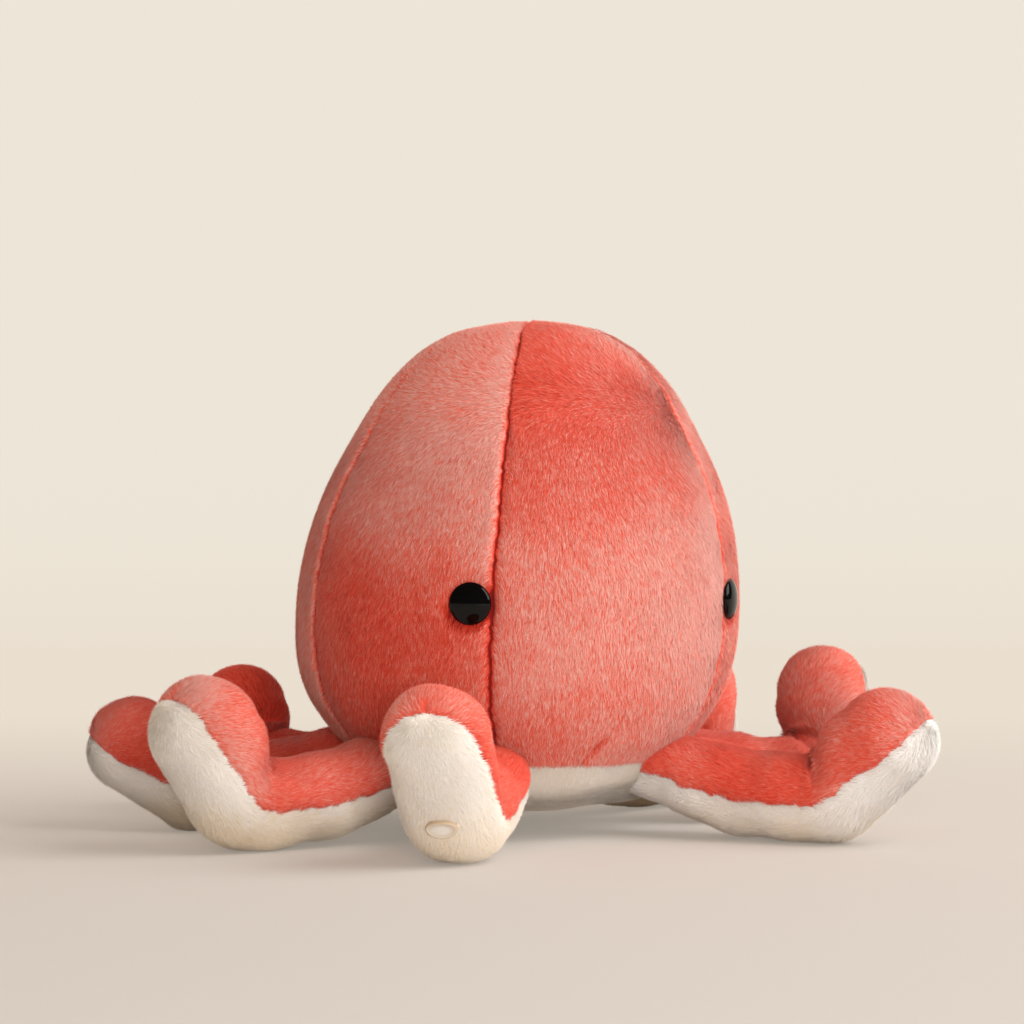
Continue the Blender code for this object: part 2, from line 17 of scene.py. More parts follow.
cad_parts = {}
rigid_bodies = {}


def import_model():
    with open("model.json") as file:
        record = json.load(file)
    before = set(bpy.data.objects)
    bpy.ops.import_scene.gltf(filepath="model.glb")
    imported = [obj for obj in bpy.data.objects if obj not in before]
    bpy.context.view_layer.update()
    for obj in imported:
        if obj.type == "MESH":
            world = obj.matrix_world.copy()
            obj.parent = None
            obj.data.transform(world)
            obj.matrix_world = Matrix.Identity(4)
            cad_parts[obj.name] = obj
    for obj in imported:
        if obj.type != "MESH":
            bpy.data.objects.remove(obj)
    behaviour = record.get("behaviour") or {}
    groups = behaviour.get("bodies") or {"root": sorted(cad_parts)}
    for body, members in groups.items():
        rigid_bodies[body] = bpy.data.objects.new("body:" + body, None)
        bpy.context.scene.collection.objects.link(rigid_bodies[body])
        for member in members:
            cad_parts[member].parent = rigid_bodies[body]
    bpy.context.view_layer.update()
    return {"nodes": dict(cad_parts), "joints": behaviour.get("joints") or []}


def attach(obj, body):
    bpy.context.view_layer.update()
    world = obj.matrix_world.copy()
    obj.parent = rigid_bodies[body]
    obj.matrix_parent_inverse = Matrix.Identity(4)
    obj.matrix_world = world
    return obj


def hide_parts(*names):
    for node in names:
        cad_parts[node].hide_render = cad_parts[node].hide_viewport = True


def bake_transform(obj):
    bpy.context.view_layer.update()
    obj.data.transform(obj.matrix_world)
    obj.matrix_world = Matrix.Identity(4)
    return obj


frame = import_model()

MM = 0.001
UP = np.array((0.0, 0.0, 1.0))
hinges = {j["name"]: (np.array(j["pos_m"]), np.array(j["axis"])) for j in frame["joints"]}
print("frame:", len(frame["nodes"]), "nodes,", len(hinges), "hinges")

# %% [markdown]
# ## Small helpers
# Sewn shapes are easy to describe as a few measured points with a smooth curve through them.
# A Catmull-Rom curve passes through every point, which a Bezier or a NURBS curve would only
# do after fitting, so the tables below can hold sizes read straight off the toy.

# %% Curves and noise
def smooth_line(points, count, before=None, after=None):
    """A smooth curve through the points, with count steps between neighbours."""
    p = np.asarray(points, float)
    first = 2 * p[0] - p[1] if before is None else np.asarray(before, float)
    last = 2 * p[-1] - p[-2] if after is None else np.asarray(after, float)
    p = np.vstack((first, p, last))
    out = []
    for p0, p1, p2, p3 in zip(p, p[1:], p[2:], p[3:]):
        for t in np.arange(count) / count:
            a = 2 * p0 - 5 * p1 + 4 * p2 - p3
            b = 3 * p1 - p0 - 3 * p2 + p3
            out.append((2 * p1 + (p2 - p0) * t + a * t**2 + b * t**3) / 2)
    out.append(p[-2])
    return np.array(out)


def unit(v):
    """Vectors made one unit long."""
    v = np.asarray(v, float)
    return v / np.maximum(np.linalg.norm(v, axis=-1, keepdims=True), 1e-12)


def ease(low, high, x):
    """0 below low, 1 above high, and a smooth step between them."""
    t = np.clip((np.asarray(x, float) - low) / (high - low), 0.0, 1.0)
    return t * t * (3 - 2 * t)


def lumps(points, size, seed):
    """Smooth noise between about -1 and 1, with lumps of the given size."""
    flat = np.asarray(points).reshape(-1, 3) / size + seed * 17.3
    values = [noise.noise(Vector(p)) for p in flat]
    return np.array(values).reshape(np.shape(points)[:-1])


def turned_about(points, centre, axis, angle):
    """Points turned about an axis through a centre."""
    k = unit(axis)
    p = np.asarray(points) - centre
    along = np.outer(p @ k, k).reshape(p.shape) if p.ndim > 1 else (p @ k) * k
    return centre + p * math.cos(angle) + np.cross(k, p) * math.sin(angle) + along * (1 - math.cos(angle))


print("a smooth line through 3 points:", len(smooth_line([(0, 0), (1, 1), (2, 0)], 8)), "points")

# %% [markdown]
# ## The camera
# The photograph was taken with a long lens from about a metre away, level with the upper arms.
# A long lens keeps the far arms nearly as large as the near ones. The camera comes first, so
# that every later piece can be judged from the right place.

# %% Camera
HEAD_AXIS = np.array((0.003818, -0.005497, 0.0))
CAMERA_AWAY = 1.0
CAMERA_HEIGHT = 110.6 * MM
CAMERA_TURN = math.radians(-30)
CAMERA_SIDESTEP = 1.05 * MM
# the lens and the width of the picture behind it, in the camera's own millimetres
LENS, SENSOR = 100.44, 36.0


def new_object(name, data):
    """An object for a mesh, a lamp or a camera, in the scene."""
    obj = bpy.data.objects.new(name, data)
    bpy.context.scene.collection.objects.link(obj)
    return obj


back = np.array((math.sin(CAMERA_TURN), -math.cos(CAMERA_TURN), 0.0))
right = np.cross(-back, UP)
camera_data = bpy.data.cameras.new("camera")
camera_data.sensor_width = SENSOR
camera_data.lens = LENS
camera_data.clip_start = 0.05
camera = new_object("camera", camera_data)
camera.location = HEAD_AXIS + back * CAMERA_AWAY - right * CAMERA_SIDESTEP + UP * CAMERA_HEIGHT
camera.rotation_euler = (math.pi / 2, 0.0, CAMERA_TURN)
bpy.context.scene.camera = camera
print("camera at", [round(c, 3) for c in camera.location])

# %% [markdown]
# ## The shape of the head
# The head is an egg that leans a little towards the face. Five panels of cloth are sewn edge to
# edge like the slices of an orange, and a round cream cloth closes it below. The two tables give
# the outline from the middle of the underside to the crown.

# %% Head outline
HEAD_WIDTH = 154.4 * MM
HEAD_TOP = 176.8 * MM
HEAD_LEAN = 11.2 * MM
HEAD_SEAMS = (-36.5, 36.5, 95.0, 180.0, 265.0, 323.5)
LEAN_SHARES, LEAN_BEND = (0.33, 0.97), 0.15
BASE_LIFT = 4 * MM
BASE_SHARES = [(0.0500, 0.0), (0.0500, 0.19), (0.0520, 0.365), (0.0610, 0.535), (0.0880, 0.662)]
HEAD_SHARES = [
    (0.1440, 0.7319), (0.2080, 0.8500), (0.2700, 0.9370), (0.3400, 0.9850), (0.4200, 1.0000),
    (0.5070, 0.9890), (0.6000, 0.9480), (0.6900, 0.8740), (0.7760, 0.7720), (0.8550, 0.6640),
    (0.9150, 0.5480), (0.9570, 0.4250), (0.9860, 0.2700), (1.0000, 0.0),
]
OUTLINE_STEPS = 12

table = np.array(BASE_SHARES + HEAD_SHARES)
table = np.column_stack((table[:, 1] * HEAD_WIDTH / 2, table[:, 0] * HEAD_TOP))
mirror = np.array((-1.0, 1.0))
outline = smooth_line(table, OUTLINE_STEPS, table[1] * mirror, table[-2] * mirror)
seam_row = len(BASE_SHARES) * OUTLINE_STEPS


def lean(z):
    """How far the head leans towards the face at a height."""
    low, high = (s * HEAD_TOP for s in LEAN_SHARES)
    t = (np.asarray(z, float) - low) / (high - low)

    def soft(x):
        bent = (x + LEAN_BEND) ** 2 / (4 * LEAN_BEND)
        return np.where(x < -LEAN_BEND, 0.0, np.where(x > LEAN_BEND, x, bent))

    return HEAD_LEAN * (soft(t) - soft(t - 1))


def head_points(turns, rz):
    """A grid of points: one row for each (radius, height), one column for each turn."""
    r, z = rz[:, 0][:, None], rz[:, 1][:, None]
    t = np.asarray(turns)[None, :]
    x = r * np.sin(t)
    y = -r * np.cos(t) - lean(z)
    return np.stack((x, y, z + 0 * t), axis=-1) + HEAD_AXIS


print("outline rows:", len(outline), "widest", round(outline[:, 0].max() / MM, 1), "mm")

# %% [markdown]
# ## From a grid of points to cloth
# Each cloth is a grid that is stored as a mesh with a UV map, one square of the map to one cloth.
# Beside the points, the mesh carries what the pile needs to know: which way the pile lies
# (`nap`), how dense and how long it is (`fur`, `reach`), how deep or pale the colour is, which
# paints shade and shine into it along with random patches (`tone`), and where each lock of pile
# lies (`grain`). Storing these on the points keeps the pile and the colour locked to the cloth.

# %% Grid to mesh
LOCK_WIDTH, LOCK_LENGTH = 0.42 * MM, 3.2 * MM


def grid_normals(grid):
    """Unit normals of a grid, from the run of its rows and columns."""
    rows = np.gradient(grid, axis=0)
    cols = np.gradient(grid, axis=1)
    for k in (0, -1):
        thin = np.linalg.norm(cols[k], axis=-1) < 1e-7
        cols[k][thin] = cols[1 if k == 0 else -2][thin]
    return unit(np.cross(cols, rows))


def store(mesh, name, kind, values):
    """Keeps one value or vector for each point of a mesh."""
    layer = mesh.attributes.new(name, kind, "POINT")
    key = "vector" if kind == "FLOAT_VECTOR" else "value"
    layer.data.foreach_set(key, np.asarray(values, np.float32).ravel())


def cloth_mesh(name, grid, nap, fur, reach, tone):
    """A cloth from its grid, with its UV map and the pile's values on its points."""
    rows, cols = grid.shape[:2]
    index = np.arange(rows * cols).reshape(rows, cols)
    quads = np.stack((index[:-1, :-1], index[:-1, 1:], index[1:, 1:], index[1:, :-1]), axis=-1)
    mesh = bpy.data.meshes.new(name)
    mesh.from_pydata(grid.reshape(-1, 3).tolist(), [], quads.reshape(-1, 4).tolist())
    u, v = np.meshgrid(np.linspace(0.01, 0.99, cols), np.linspace(0.01, 0.99, rows))
    spot = np.stack((u, v, 0 * u), axis=-1).reshape(-1, 3)
    layer = mesh.uv_layers.new(name="OFBake")
    corners = np.zeros(len(mesh.loops), np.int32)
    mesh.loops.foreach_get("vertex_index", corners)
    layer.data.foreach_set("uv", spot[corners][:, :2].ravel())
    store(mesh, "spot", "FLOAT_VECTOR", spot)
    wide = np.linalg.norm(np.diff(grid, axis=1), axis=-1).max(axis=0)
    long = np.linalg.norm(np.diff(grid, axis=0), axis=-1).max(axis=1)
    wide, long = (np.concatenate(([0.0], np.cumsum(d))) for d in (wide, long))
    x, y = np.meshgrid(wide / LOCK_WIDTH, long / LOCK_LENGTH)
    store(mesh, "grain", "FLOAT_VECTOR", np.stack((x, y, 0 * x), axis=-1))
    store(mesh, "nap", "FLOAT_VECTOR", nap)
    store(mesh, "fur", "FLOAT", fur)
    store(mesh, "reach", "FLOAT", reach)
    store(mesh, "tone", "FLOAT", tone)
    store(mesh, "tuft", "FLOAT", np.full(rows * cols, 0.5))
    mesh.shade_smooth()
    return mesh


print("cloth meshes carry:", "OFBake, spot, grain, nap, fur, reach, tone, tuft")

# %% [markdown]
# ## Colours and the plush material
# Plush is a knitted ground with a dense, short, shiny pile. Two things make its colour change
# over a piece: where the pile stands up it swallows light and looks deep red, and where it lies
# over, its sides shine and it looks pink. The material paints this shine and shade into the
# colour: it mixes a deep, a middle and a pale colour by the stored tone, some slow noise and a
# different value for each tuft, with a fourth, painted shadow shade for the darkest places, and
# adds sheen. An image of real fur would be quicker, but it would repeat and couldn't follow each tuft.

# %% Material helpers
def new_material(name):
    """A material, its node tree and its main shader."""
    mat = bpy.data.materials.new(name)
    mat.use_nodes = True
    return mat, mat.node_tree, mat.node_tree.nodes["Principled BSDF"]


def plug(tree, socket, value):
    """Fills an input with another node's output or with a plain value."""
    if isinstance(value, bpy.types.NodeSocket):
        tree.links.new(value, socket)
    else:
        socket.default_value = value


def mix_colour(tree, a, b, factor):
    """A colour between a and b."""
    node = tree.nodes.new("ShaderNodeMix")
    node.data_type = "RGBA"
    for socket, value in zip((node.inputs[6], node.inputs[7], node.inputs[0]), (a, b, factor)):
        plug(tree, socket, value)
    return node.outputs[2]


def math_node(tree, operation, a, b, c=0.0, clamp=False):
    """Arithmetic on two values, or on three for a product with a sum."""
    node = tree.nodes.new("ShaderNodeMath")
    node.operation = operation
    node.use_clamp = clamp
    for socket, value in zip(node.inputs, (a, b, c)):
        plug(tree, socket, value)
    return node.outputs[0]


def attribute(tree, name, output="Fac"):
    """A value stored on the points."""
    node = tree.nodes.new("ShaderNodeAttribute")
    node.attribute_name = name
    return node.outputs[output]


def noise_node(tree, scale, detail, coords=None):
    """Noise from 0 to 1, fixed to the piece unless other coordinates are given."""
    node = tree.nodes.new("ShaderNodeTexNoise")
    node.inputs["Scale"].default_value = scale
    node.inputs["Detail"].default_value = detail
    if coords is None:
        coords = tree.nodes.new("ShaderNodeTexCoord").outputs["Object"]
    tree.links.new(coords, node.inputs["Vector"])
    return node.outputs["Fac"]


def spread(tree, value, gain):
    """A value from 0 to 1, spread evenly about zero."""
    return math_node(tree, "MULTIPLY_ADD", value, gain, -gain / 2)


print("helpers for", len(bpy.data.materials), "materials so far")

# %% Plush material
SLOW_GAIN, STREAK_GAIN, TUFT_GAIN = 0.8, 2.3, 1.7
CLOTH_BUMP = 0.4 * MM


def plush_material(name, shades, sheen, tint, vary):
    """Plush cloth of four shades. vary is how much its locks and tufts differ."""
    shadow, deep, middle, pale = [(*shade, 1) for shade in shades]
    mat, tree, shader = new_material(name)
    slow = noise_node(tree, 55.0, 3.0)
    locks = noise_node(tree, 1.0, 1.0, attribute(tree, "grain", "Vector"))
    total = math_node(tree, "ADD", attribute(tree, "tone"), spread(tree, slow, SLOW_GAIN))
    total = math_node(tree, "ADD", total, spread(tree, locks, STREAK_GAIN * vary))
    total = math_node(tree, "ADD", total, spread(tree, attribute(tree, "tuft"), TUFT_GAIN * vary))
    low = math_node(tree, "ADD", total, 1.0, clamp=True)
    high = math_node(tree, "ADD", total, 0.0, clamp=True)
    below = math_node(tree, "MULTIPLY_ADD", total, -1.0, -1.0, clamp=True)
    colour = mix_colour(tree, deep, middle, low)
    colour = mix_colour(tree, colour, pale, high)
    colour = mix_colour(tree, colour, shadow, below)
    tree.links.new(colour, shader.inputs["Base Color"])
    shader.inputs["Roughness"].default_value = 0.85
    shader.inputs["Specular IOR Level"].default_value = 0.25
    shader.inputs["Sheen Weight"].default_value = sheen
    shader.inputs["Sheen Roughness"].default_value = 0.45
    shader.inputs["Sheen Tint"].default_value = (*tint, 1)
    bump = tree.nodes.new("ShaderNodeBump")
    bump.inputs["Strength"].default_value = 0.5
    bump.inputs["Distance"].default_value = CLOTH_BUMP
    tree.links.new(noise_node(tree, 1900.0, 2.0), bump.inputs["Height"])
    tree.links.new(bump.outputs["Normal"], shader.inputs["Normal"])
    return mat


# the shades of each cloth: painted deep shadow, standing pile, lying pile, and shining pile as a painted
# shine
CORAL = ((0.28, 0.011, 0.009), (0.78, 0.056, 0.028), (0.86, 0.155, 0.100), (0.87, 0.460, 0.400))
CREAM = ((0.56, 0.390, 0.240), (0.91, 0.780, 0.600), (0.895, 0.845, 0.805), (0.91, 0.895, 0.875))
CORAL_SHEEN, CREAM_SHEEN = (1.0, 0.56, 0.49), (1.0, 0.96, 0.92)
coral = plush_material("plush_coral", CORAL, 0.6, CORAL_SHEEN, 0.9)
coral_arm = plush_material("plush_coral_arm", CORAL, 0.6, CORAL_SHEEN, 0.65)
coral_ground = plush_material("ground_coral", CORAL, 0.4, CORAL_SHEEN, 0.5)
cream = plush_material("plush_cream", CREAM, 0.4, CREAM_SHEEN, 0.45)
cream_ground = plush_material("ground_cream", CREAM, 0.3, CREAM_SHEEN, 0.3)
print("plush materials:", [m.name for m in bpy.data.materials])

# %% [markdown]
# ## The pile, grown by Geometry Nodes
# A hair system would look right but it can't be exported, and a bump map stays flat at the
# edges, where plush shows its softness most. So each cloth grows real tufts: small pointed
# blades, about ten to each square millimetre. The node tree scatters points over the cloth,
# lays a blade on each along the stored nap, turns and sizes it a little at random, and makes the
# whole plain mesh again.

# %% One tuft
def tuft_blade():
    """A pointed blade of unit width and length that lies over along +Y."""
    mesh = bpy.data.meshes.new("tuft")
    mesh.from_pydata([(-0.5, 0, -0.04), (0.5, 0, -0.04), (0, 0.95, 0.31)], [], [(0, 1, 2)])
    mesh.shade_smooth()
    return new_object("tuft", mesh)


blade = tuft_blade()
print("tuft:", len(blade.data.vertices), "points")

# %% The pile's node tree
TUFTS = 10.5e6
TUFT_LENGTH, TUFT_WIDTH, TUFT_SPREAD = 2.9 * MM, 0.32 * MM, 0.22


def pile_tree():
    """The tree and the identifiers of its inputs by name."""
    tree = bpy.data.node_groups.new("plush_pile", "GeometryNodeTree")
    keys = {}
    plan = (
        ("Geometry", "Geometry", None), ("Tufts per square metre", "Float", TUFTS),
        ("Length", "Float", TUFT_LENGTH), ("Width", "Float", TUFT_WIDTH), ("Spread", "Float", TUFT_SPREAD),
        ("Seed", "Int", 1), ("Tuft", "Object", None), ("Ground", "Material", None),
        ("Pile", "Material", None),
    )
    for name, kind, value in plan:
        item = tree.interface.new_socket(name, in_out="INPUT", socket_type="NodeSocket" + kind)
        if value is not None:
            item.default_value = value
        keys[name] = item.identifier
    tree.interface.new_socket("Geometry", in_out="OUTPUT", socket_type="NodeSocketGeometry")
    new, link = tree.nodes.new, tree.links.new
    given = new("NodeGroupInput").outputs

    def named(name, kind="FLOAT"):
        node = new("GeometryNodeInputNamedAttribute")
        node.data_type = kind
        node.inputs["Name"].default_value = name
        return node.outputs["Attribute"]

    def maths(operation, a, b):
        return math_node(tree, operation, a, b)

    def chance(kind, low, high, step):
        node = new("FunctionNodeRandomValue")
        node.data_type = kind
        for socket, value in zip([s for s in node.inputs if s.enabled], (low, high)):
            plug(tree, socket, value)
        link(maths("ADD", given["Seed"], step), node.inputs["Seed"])
        return next(s for s in node.outputs if s.enabled)

    scatter = new("GeometryNodeDistributePointsOnFaces")
    link(given["Geometry"], scatter.inputs["Mesh"])
    link(maths("MULTIPLY", given["Tufts per square metre"], named("fur")), scatter.inputs["Density"])
    link(given["Seed"], scatter.inputs["Seed"])
    # the tuft's Z stands on the cloth and its Y lies along the nap
    aim = new("FunctionNodeAxesToRotation")
    aim.primary_axis, aim.secondary_axis = "Z", "Y"
    link(scatter.outputs["Normal"], aim.inputs["Primary Axis"])
    link(named("nap", "FLOAT_VECTOR"), aim.inputs["Secondary Axis"])
    minus = maths("MULTIPLY", given["Spread"], -1.0)
    low, high = new("ShaderNodeCombineXYZ"), new("ShaderNodeCombineXYZ")
    for node, value in ((low, minus), (high, given["Spread"])):
        link(maths("MULTIPLY", value, 0.6), node.inputs[0])
        link(maths("MULTIPLY", value, 1.5), node.inputs[1])
        link(value, node.inputs[2])
    wobble = new("FunctionNodeEulerToRotation")
    link(chance("FLOAT_VECTOR", low.outputs[0], high.outputs[0], 1), wobble.inputs[0])
    turn = new("FunctionNodeRotateRotation")
    turn.rotation_space = "LOCAL"
    link(aim.outputs[0], turn.inputs[0])
    link(wobble.outputs[0], turn.inputs[1])
    size = new("ShaderNodeCombineXYZ")
    long = maths("MULTIPLY", given["Length"], chance("FLOAT", 0.7, 1.15, 2))
    long = maths("MULTIPLY", long, named("reach"))
    link(maths("MULTIPLY", given["Width"], chance("FLOAT", 0.7, 1.3, 3)), size.inputs[0])
    link(long, size.inputs[1])
    link(long, size.inputs[2])
    tuft = new("GeometryNodeObjectInfo")
    link(given["Tuft"], tuft.inputs["Object"])
    plant = new("GeometryNodeInstanceOnPoints")
    link(scatter.outputs["Points"], plant.inputs["Points"])
    link(tuft.outputs["Geometry"], plant.inputs["Instance"])
    link(turn.outputs[0], plant.inputs["Rotation"])
    link(size.outputs[0], plant.inputs["Scale"])
    # each tuft keeps one random value for its colour, and the map place of its root
    shade = new("GeometryNodeStoreNamedAttribute")
    shade.data_type, shade.domain = "FLOAT", "INSTANCE"
    shade.inputs["Name"].default_value = "tuft"
    link(plant.outputs[0], shade.inputs["Geometry"])
    link(chance("FLOAT", 0.0, 1.0, 4), shade.inputs["Value"])
    real = new("GeometryNodeRealizeInstances")
    link(shade.outputs[0], real.inputs[0])
    chart = new("GeometryNodeStoreNamedAttribute")
    chart.data_type, chart.domain = "FLOAT2", "CORNER"
    chart.inputs["Name"].default_value = "OFBake"
    link(real.outputs[0], chart.inputs["Geometry"])
    link(named("spot", "FLOAT_VECTOR"), chart.inputs["Value"])
    dress, ground = new("GeometryNodeSetMaterial"), new("GeometryNodeSetMaterial")
    link(chart.outputs[0], dress.inputs["Geometry"])
    link(given["Pile"], dress.inputs["Material"])
    link(given["Geometry"], ground.inputs["Geometry"])
    link(given["Ground"], ground.inputs["Material"])
    join = new("GeometryNodeJoinGeometry")
    link(dress.outputs[0], join.inputs[0])
    link(ground.outputs[0], join.inputs[0])
    link(join.outputs[0], new("NodeGroupOutput").inputs[0])
    return tree, keys


tree, keys = pile_tree()
print("pile tree:", len(tree.nodes), "nodes; inputs", sorted(keys))

# %% Grow the pile on a cloth
FLOOR_CLEAR = 0.15 * MM
grown = {}


def grow(name, mesh, pile, ground, seed):
    """Makes the piece: the cloth and its pile in one plain mesh."""
    obj = new_object(name, mesh)
    mod = obj.modifiers.new("pile", "NODES")
    mod.node_group = tree
    mod[keys["Tuft"]] = blade
    mod[keys["Ground"]] = ground
    mod[keys["Pile"]] = pile
    mod[keys["Seed"]] = seed
    graph = bpy.context.evaluated_depsgraph_get()
    graph.update()
    full = bpy.data.meshes.new_from_object(
        obj.evaluated_get(graph), preserve_all_data_layers=True, depsgraph=graph
    )
    obj.modifiers.remove(mod)
    obj.data = full
    full.name = name
    points = np.zeros(len(full.vertices) * 3)
    full.vertices.foreach_get("co", points)
    points = points.reshape(-1, 3)
    points[:, 2] = np.maximum(points[:, 2], FLOOR_CLEAR)
    full.vertices.foreach_set("co", points.ravel())
    for extra in ("spot", "nap", "fur", "reach"):
        if extra in full.attributes:
            full.attributes.remove(full.attributes[extra])
    full.update()
    bpy.data.meshes.remove(mesh)
    grown[name] = sum(len(p.vertices) - 2 for p in full.polygons)
    return obj


print("tufts end", FLOOR_CLEAR / MM, "mm above the ground at the lowest")

# %% [markdown]
# ## Where the arms and the eyes are
# Pile under an arm's root or an eye would poke through, so the head has to know where they are
# before its pile grows. Everything comes from the frame's hinges: the first hinge of an arm
# gives its direction, and the second is the middle of its elbow.

# %% Arm directions and eye places
HINGE_RADIUS = 65.55 * MM
ARM_WIDTH, ARM_HEIGHT = 34.8 * MM, 30.6 * MM
BULB_WIDTH, BULB_HEIGHT = 35.0 * MM, 34.2 * MM
FLOOR_CUT = 0.5 * MM
# from the elbow to the middle of the raised end: outwards, sideways and up, in millimetres
TIP_STEPS = {
    1: (21.0, -2.5, 26.0), 2: (17.0, 0.0, 25.2), 3: (25.0, 0.0, 14.8), 4: (14.0, -3.0, 22.35),
    5: (19.0, 0.0, 24.0), 6: (17.0, 6.0, 26.0), 7: (7.0, 11.0, 30.0), 8: (22.5, 0.0, 20.5),
}
SAG = {6: 0.03}
# arm centre line: radius as a share of the reach, height and half height as shares of the arm's
# height, half width as a share of its width
REACH = 150 * MM
ROOT_SHARES = [
    (0.2330, 0.8300, 0.3300, 0.3900), (0.3200, 0.8000, 0.3650, 0.4250),
    (0.3870, 0.7520, 0.4180, 0.4600), (0.4400, 0.6860, 0.4670, 0.4830),
    (0.5070, 0.6010, 0.4870, 0.4920), (0.5900, 0.5290, 0.5000, 0.4980),
]
EYE_TURN, EYE_AT = 42.0, 0.458 * HEAD_TOP
EYE_WIDTH, EYE_DOME, EYE_SINK = 14.0 * MM, 3.0 * MM, 2.0 * MM


def arm_frame(i):
    """Directions and the two hinge points of an arm."""
    lift, axis = hinges[f"arm{i}_lift"]
    elbow, bend_axis = hinges[f"tip{i}_curl"]
    side, end_side = -axis, -bend_axis
    return dict(lift=lift, side=side, out=np.cross(side, UP), elbow=elbow,
                end_side=end_side, end=np.cross(end_side, UP))


def eye_frame(side):
    """The middle of an eye's seat and the direction in which it looks."""
    turn = math.radians(EYE_TURN) * side
    out = np.array((math.sin(turn), -math.cos(turn), 0.0))
    r = np.interp(EYE_AT, table[:, 1], table[:, 0])
    spot = HEAD_AXIS + out * (r - EYE_SINK) + np.array((0.0, -float(lean(EYE_AT)), EYE_AT))
    return spot, out


arms = {i: arm_frame(i) for i in range(1, 9)}
eyes = {"px": eye_frame(1), "nx": eye_frame(-1)}
print("elbows at", {i: [round(float(c) / MM) for c in a["elbow"]] for i, a in arms.items()})

# %% [markdown]
# ## Arm stations
# An arm is a tube with a middle line, a width and a height. It leaves the head, comes down to
# the ground, and then the end is folded up and sewn so that it stays up. A fold turns about a
# line just above the upper cloth: every cross-section of the elbow is a copy of the last one,
# turned about that line. The upper cloth is pinched into a crease there, and the under cloth
# runs round outside in a wide bend.

# %% Stations
CREASE_ROOM = 1.0 * MM
CREASE_OUT = 4.0 * MM
STATION_STEP = 1.7 * MM
PLUMP = {2: 1.08, 7: 1.02, 8: 1.04}
CAP_ROWS, POLE_ROWS = 17, 5
CREAM_SHORT = math.radians(15.5)


def root_stations(arm, sag):
    """Centre, half width and half height from inside the head to the elbow."""
    reach = (arm["elbow"] - HEAD_AXIS) @ arm["out"]
    drift = (arm["elbow"] - HEAD_AXIS) @ arm["side"]
    rows = []
    for r, z, h, w in ROOT_SHARES:
        r *= REACH
        sink = sag * REACH * max(0.0, 1.0 - abs(r - 0.42 * REACH) / (0.18 * REACH)) / 2
        share = max(0.0, (r - HINGE_RADIUS) / (reach - HINGE_RADIUS))
        c = HEAD_AXIS + arm["out"] * r + arm["side"] * drift * share**1.5
        z = z * ARM_HEIGHT - FLOOR_CUT - sink
        rows.append((c[0], c[1], z, w * ARM_WIDTH, h * ARM_HEIGHT + sink))
    e = arm["elbow"]
    rows.append((e[0], e[1], ARM_HEIGHT / 2 - FLOOR_CUT, ARM_WIDTH / 2, ARM_HEIGHT / 2))
    return smooth_line(rows, 12)


def resample(rows, step):
    """Rows at even distances along their first three columns."""
    run = np.concatenate(([0.0], np.cumsum(np.linalg.norm(np.diff(rows[:, :3], axis=0), axis=1))))
    count = max(2, round(run[-1] / step))
    at = np.linspace(0.0, run[-1], count + 1)
    return np.column_stack([np.interp(at, run, rows[:, k]) for k in range(rows.shape[1])])


print("stations are", round(STATION_STEP / MM, 2), "mm apart")

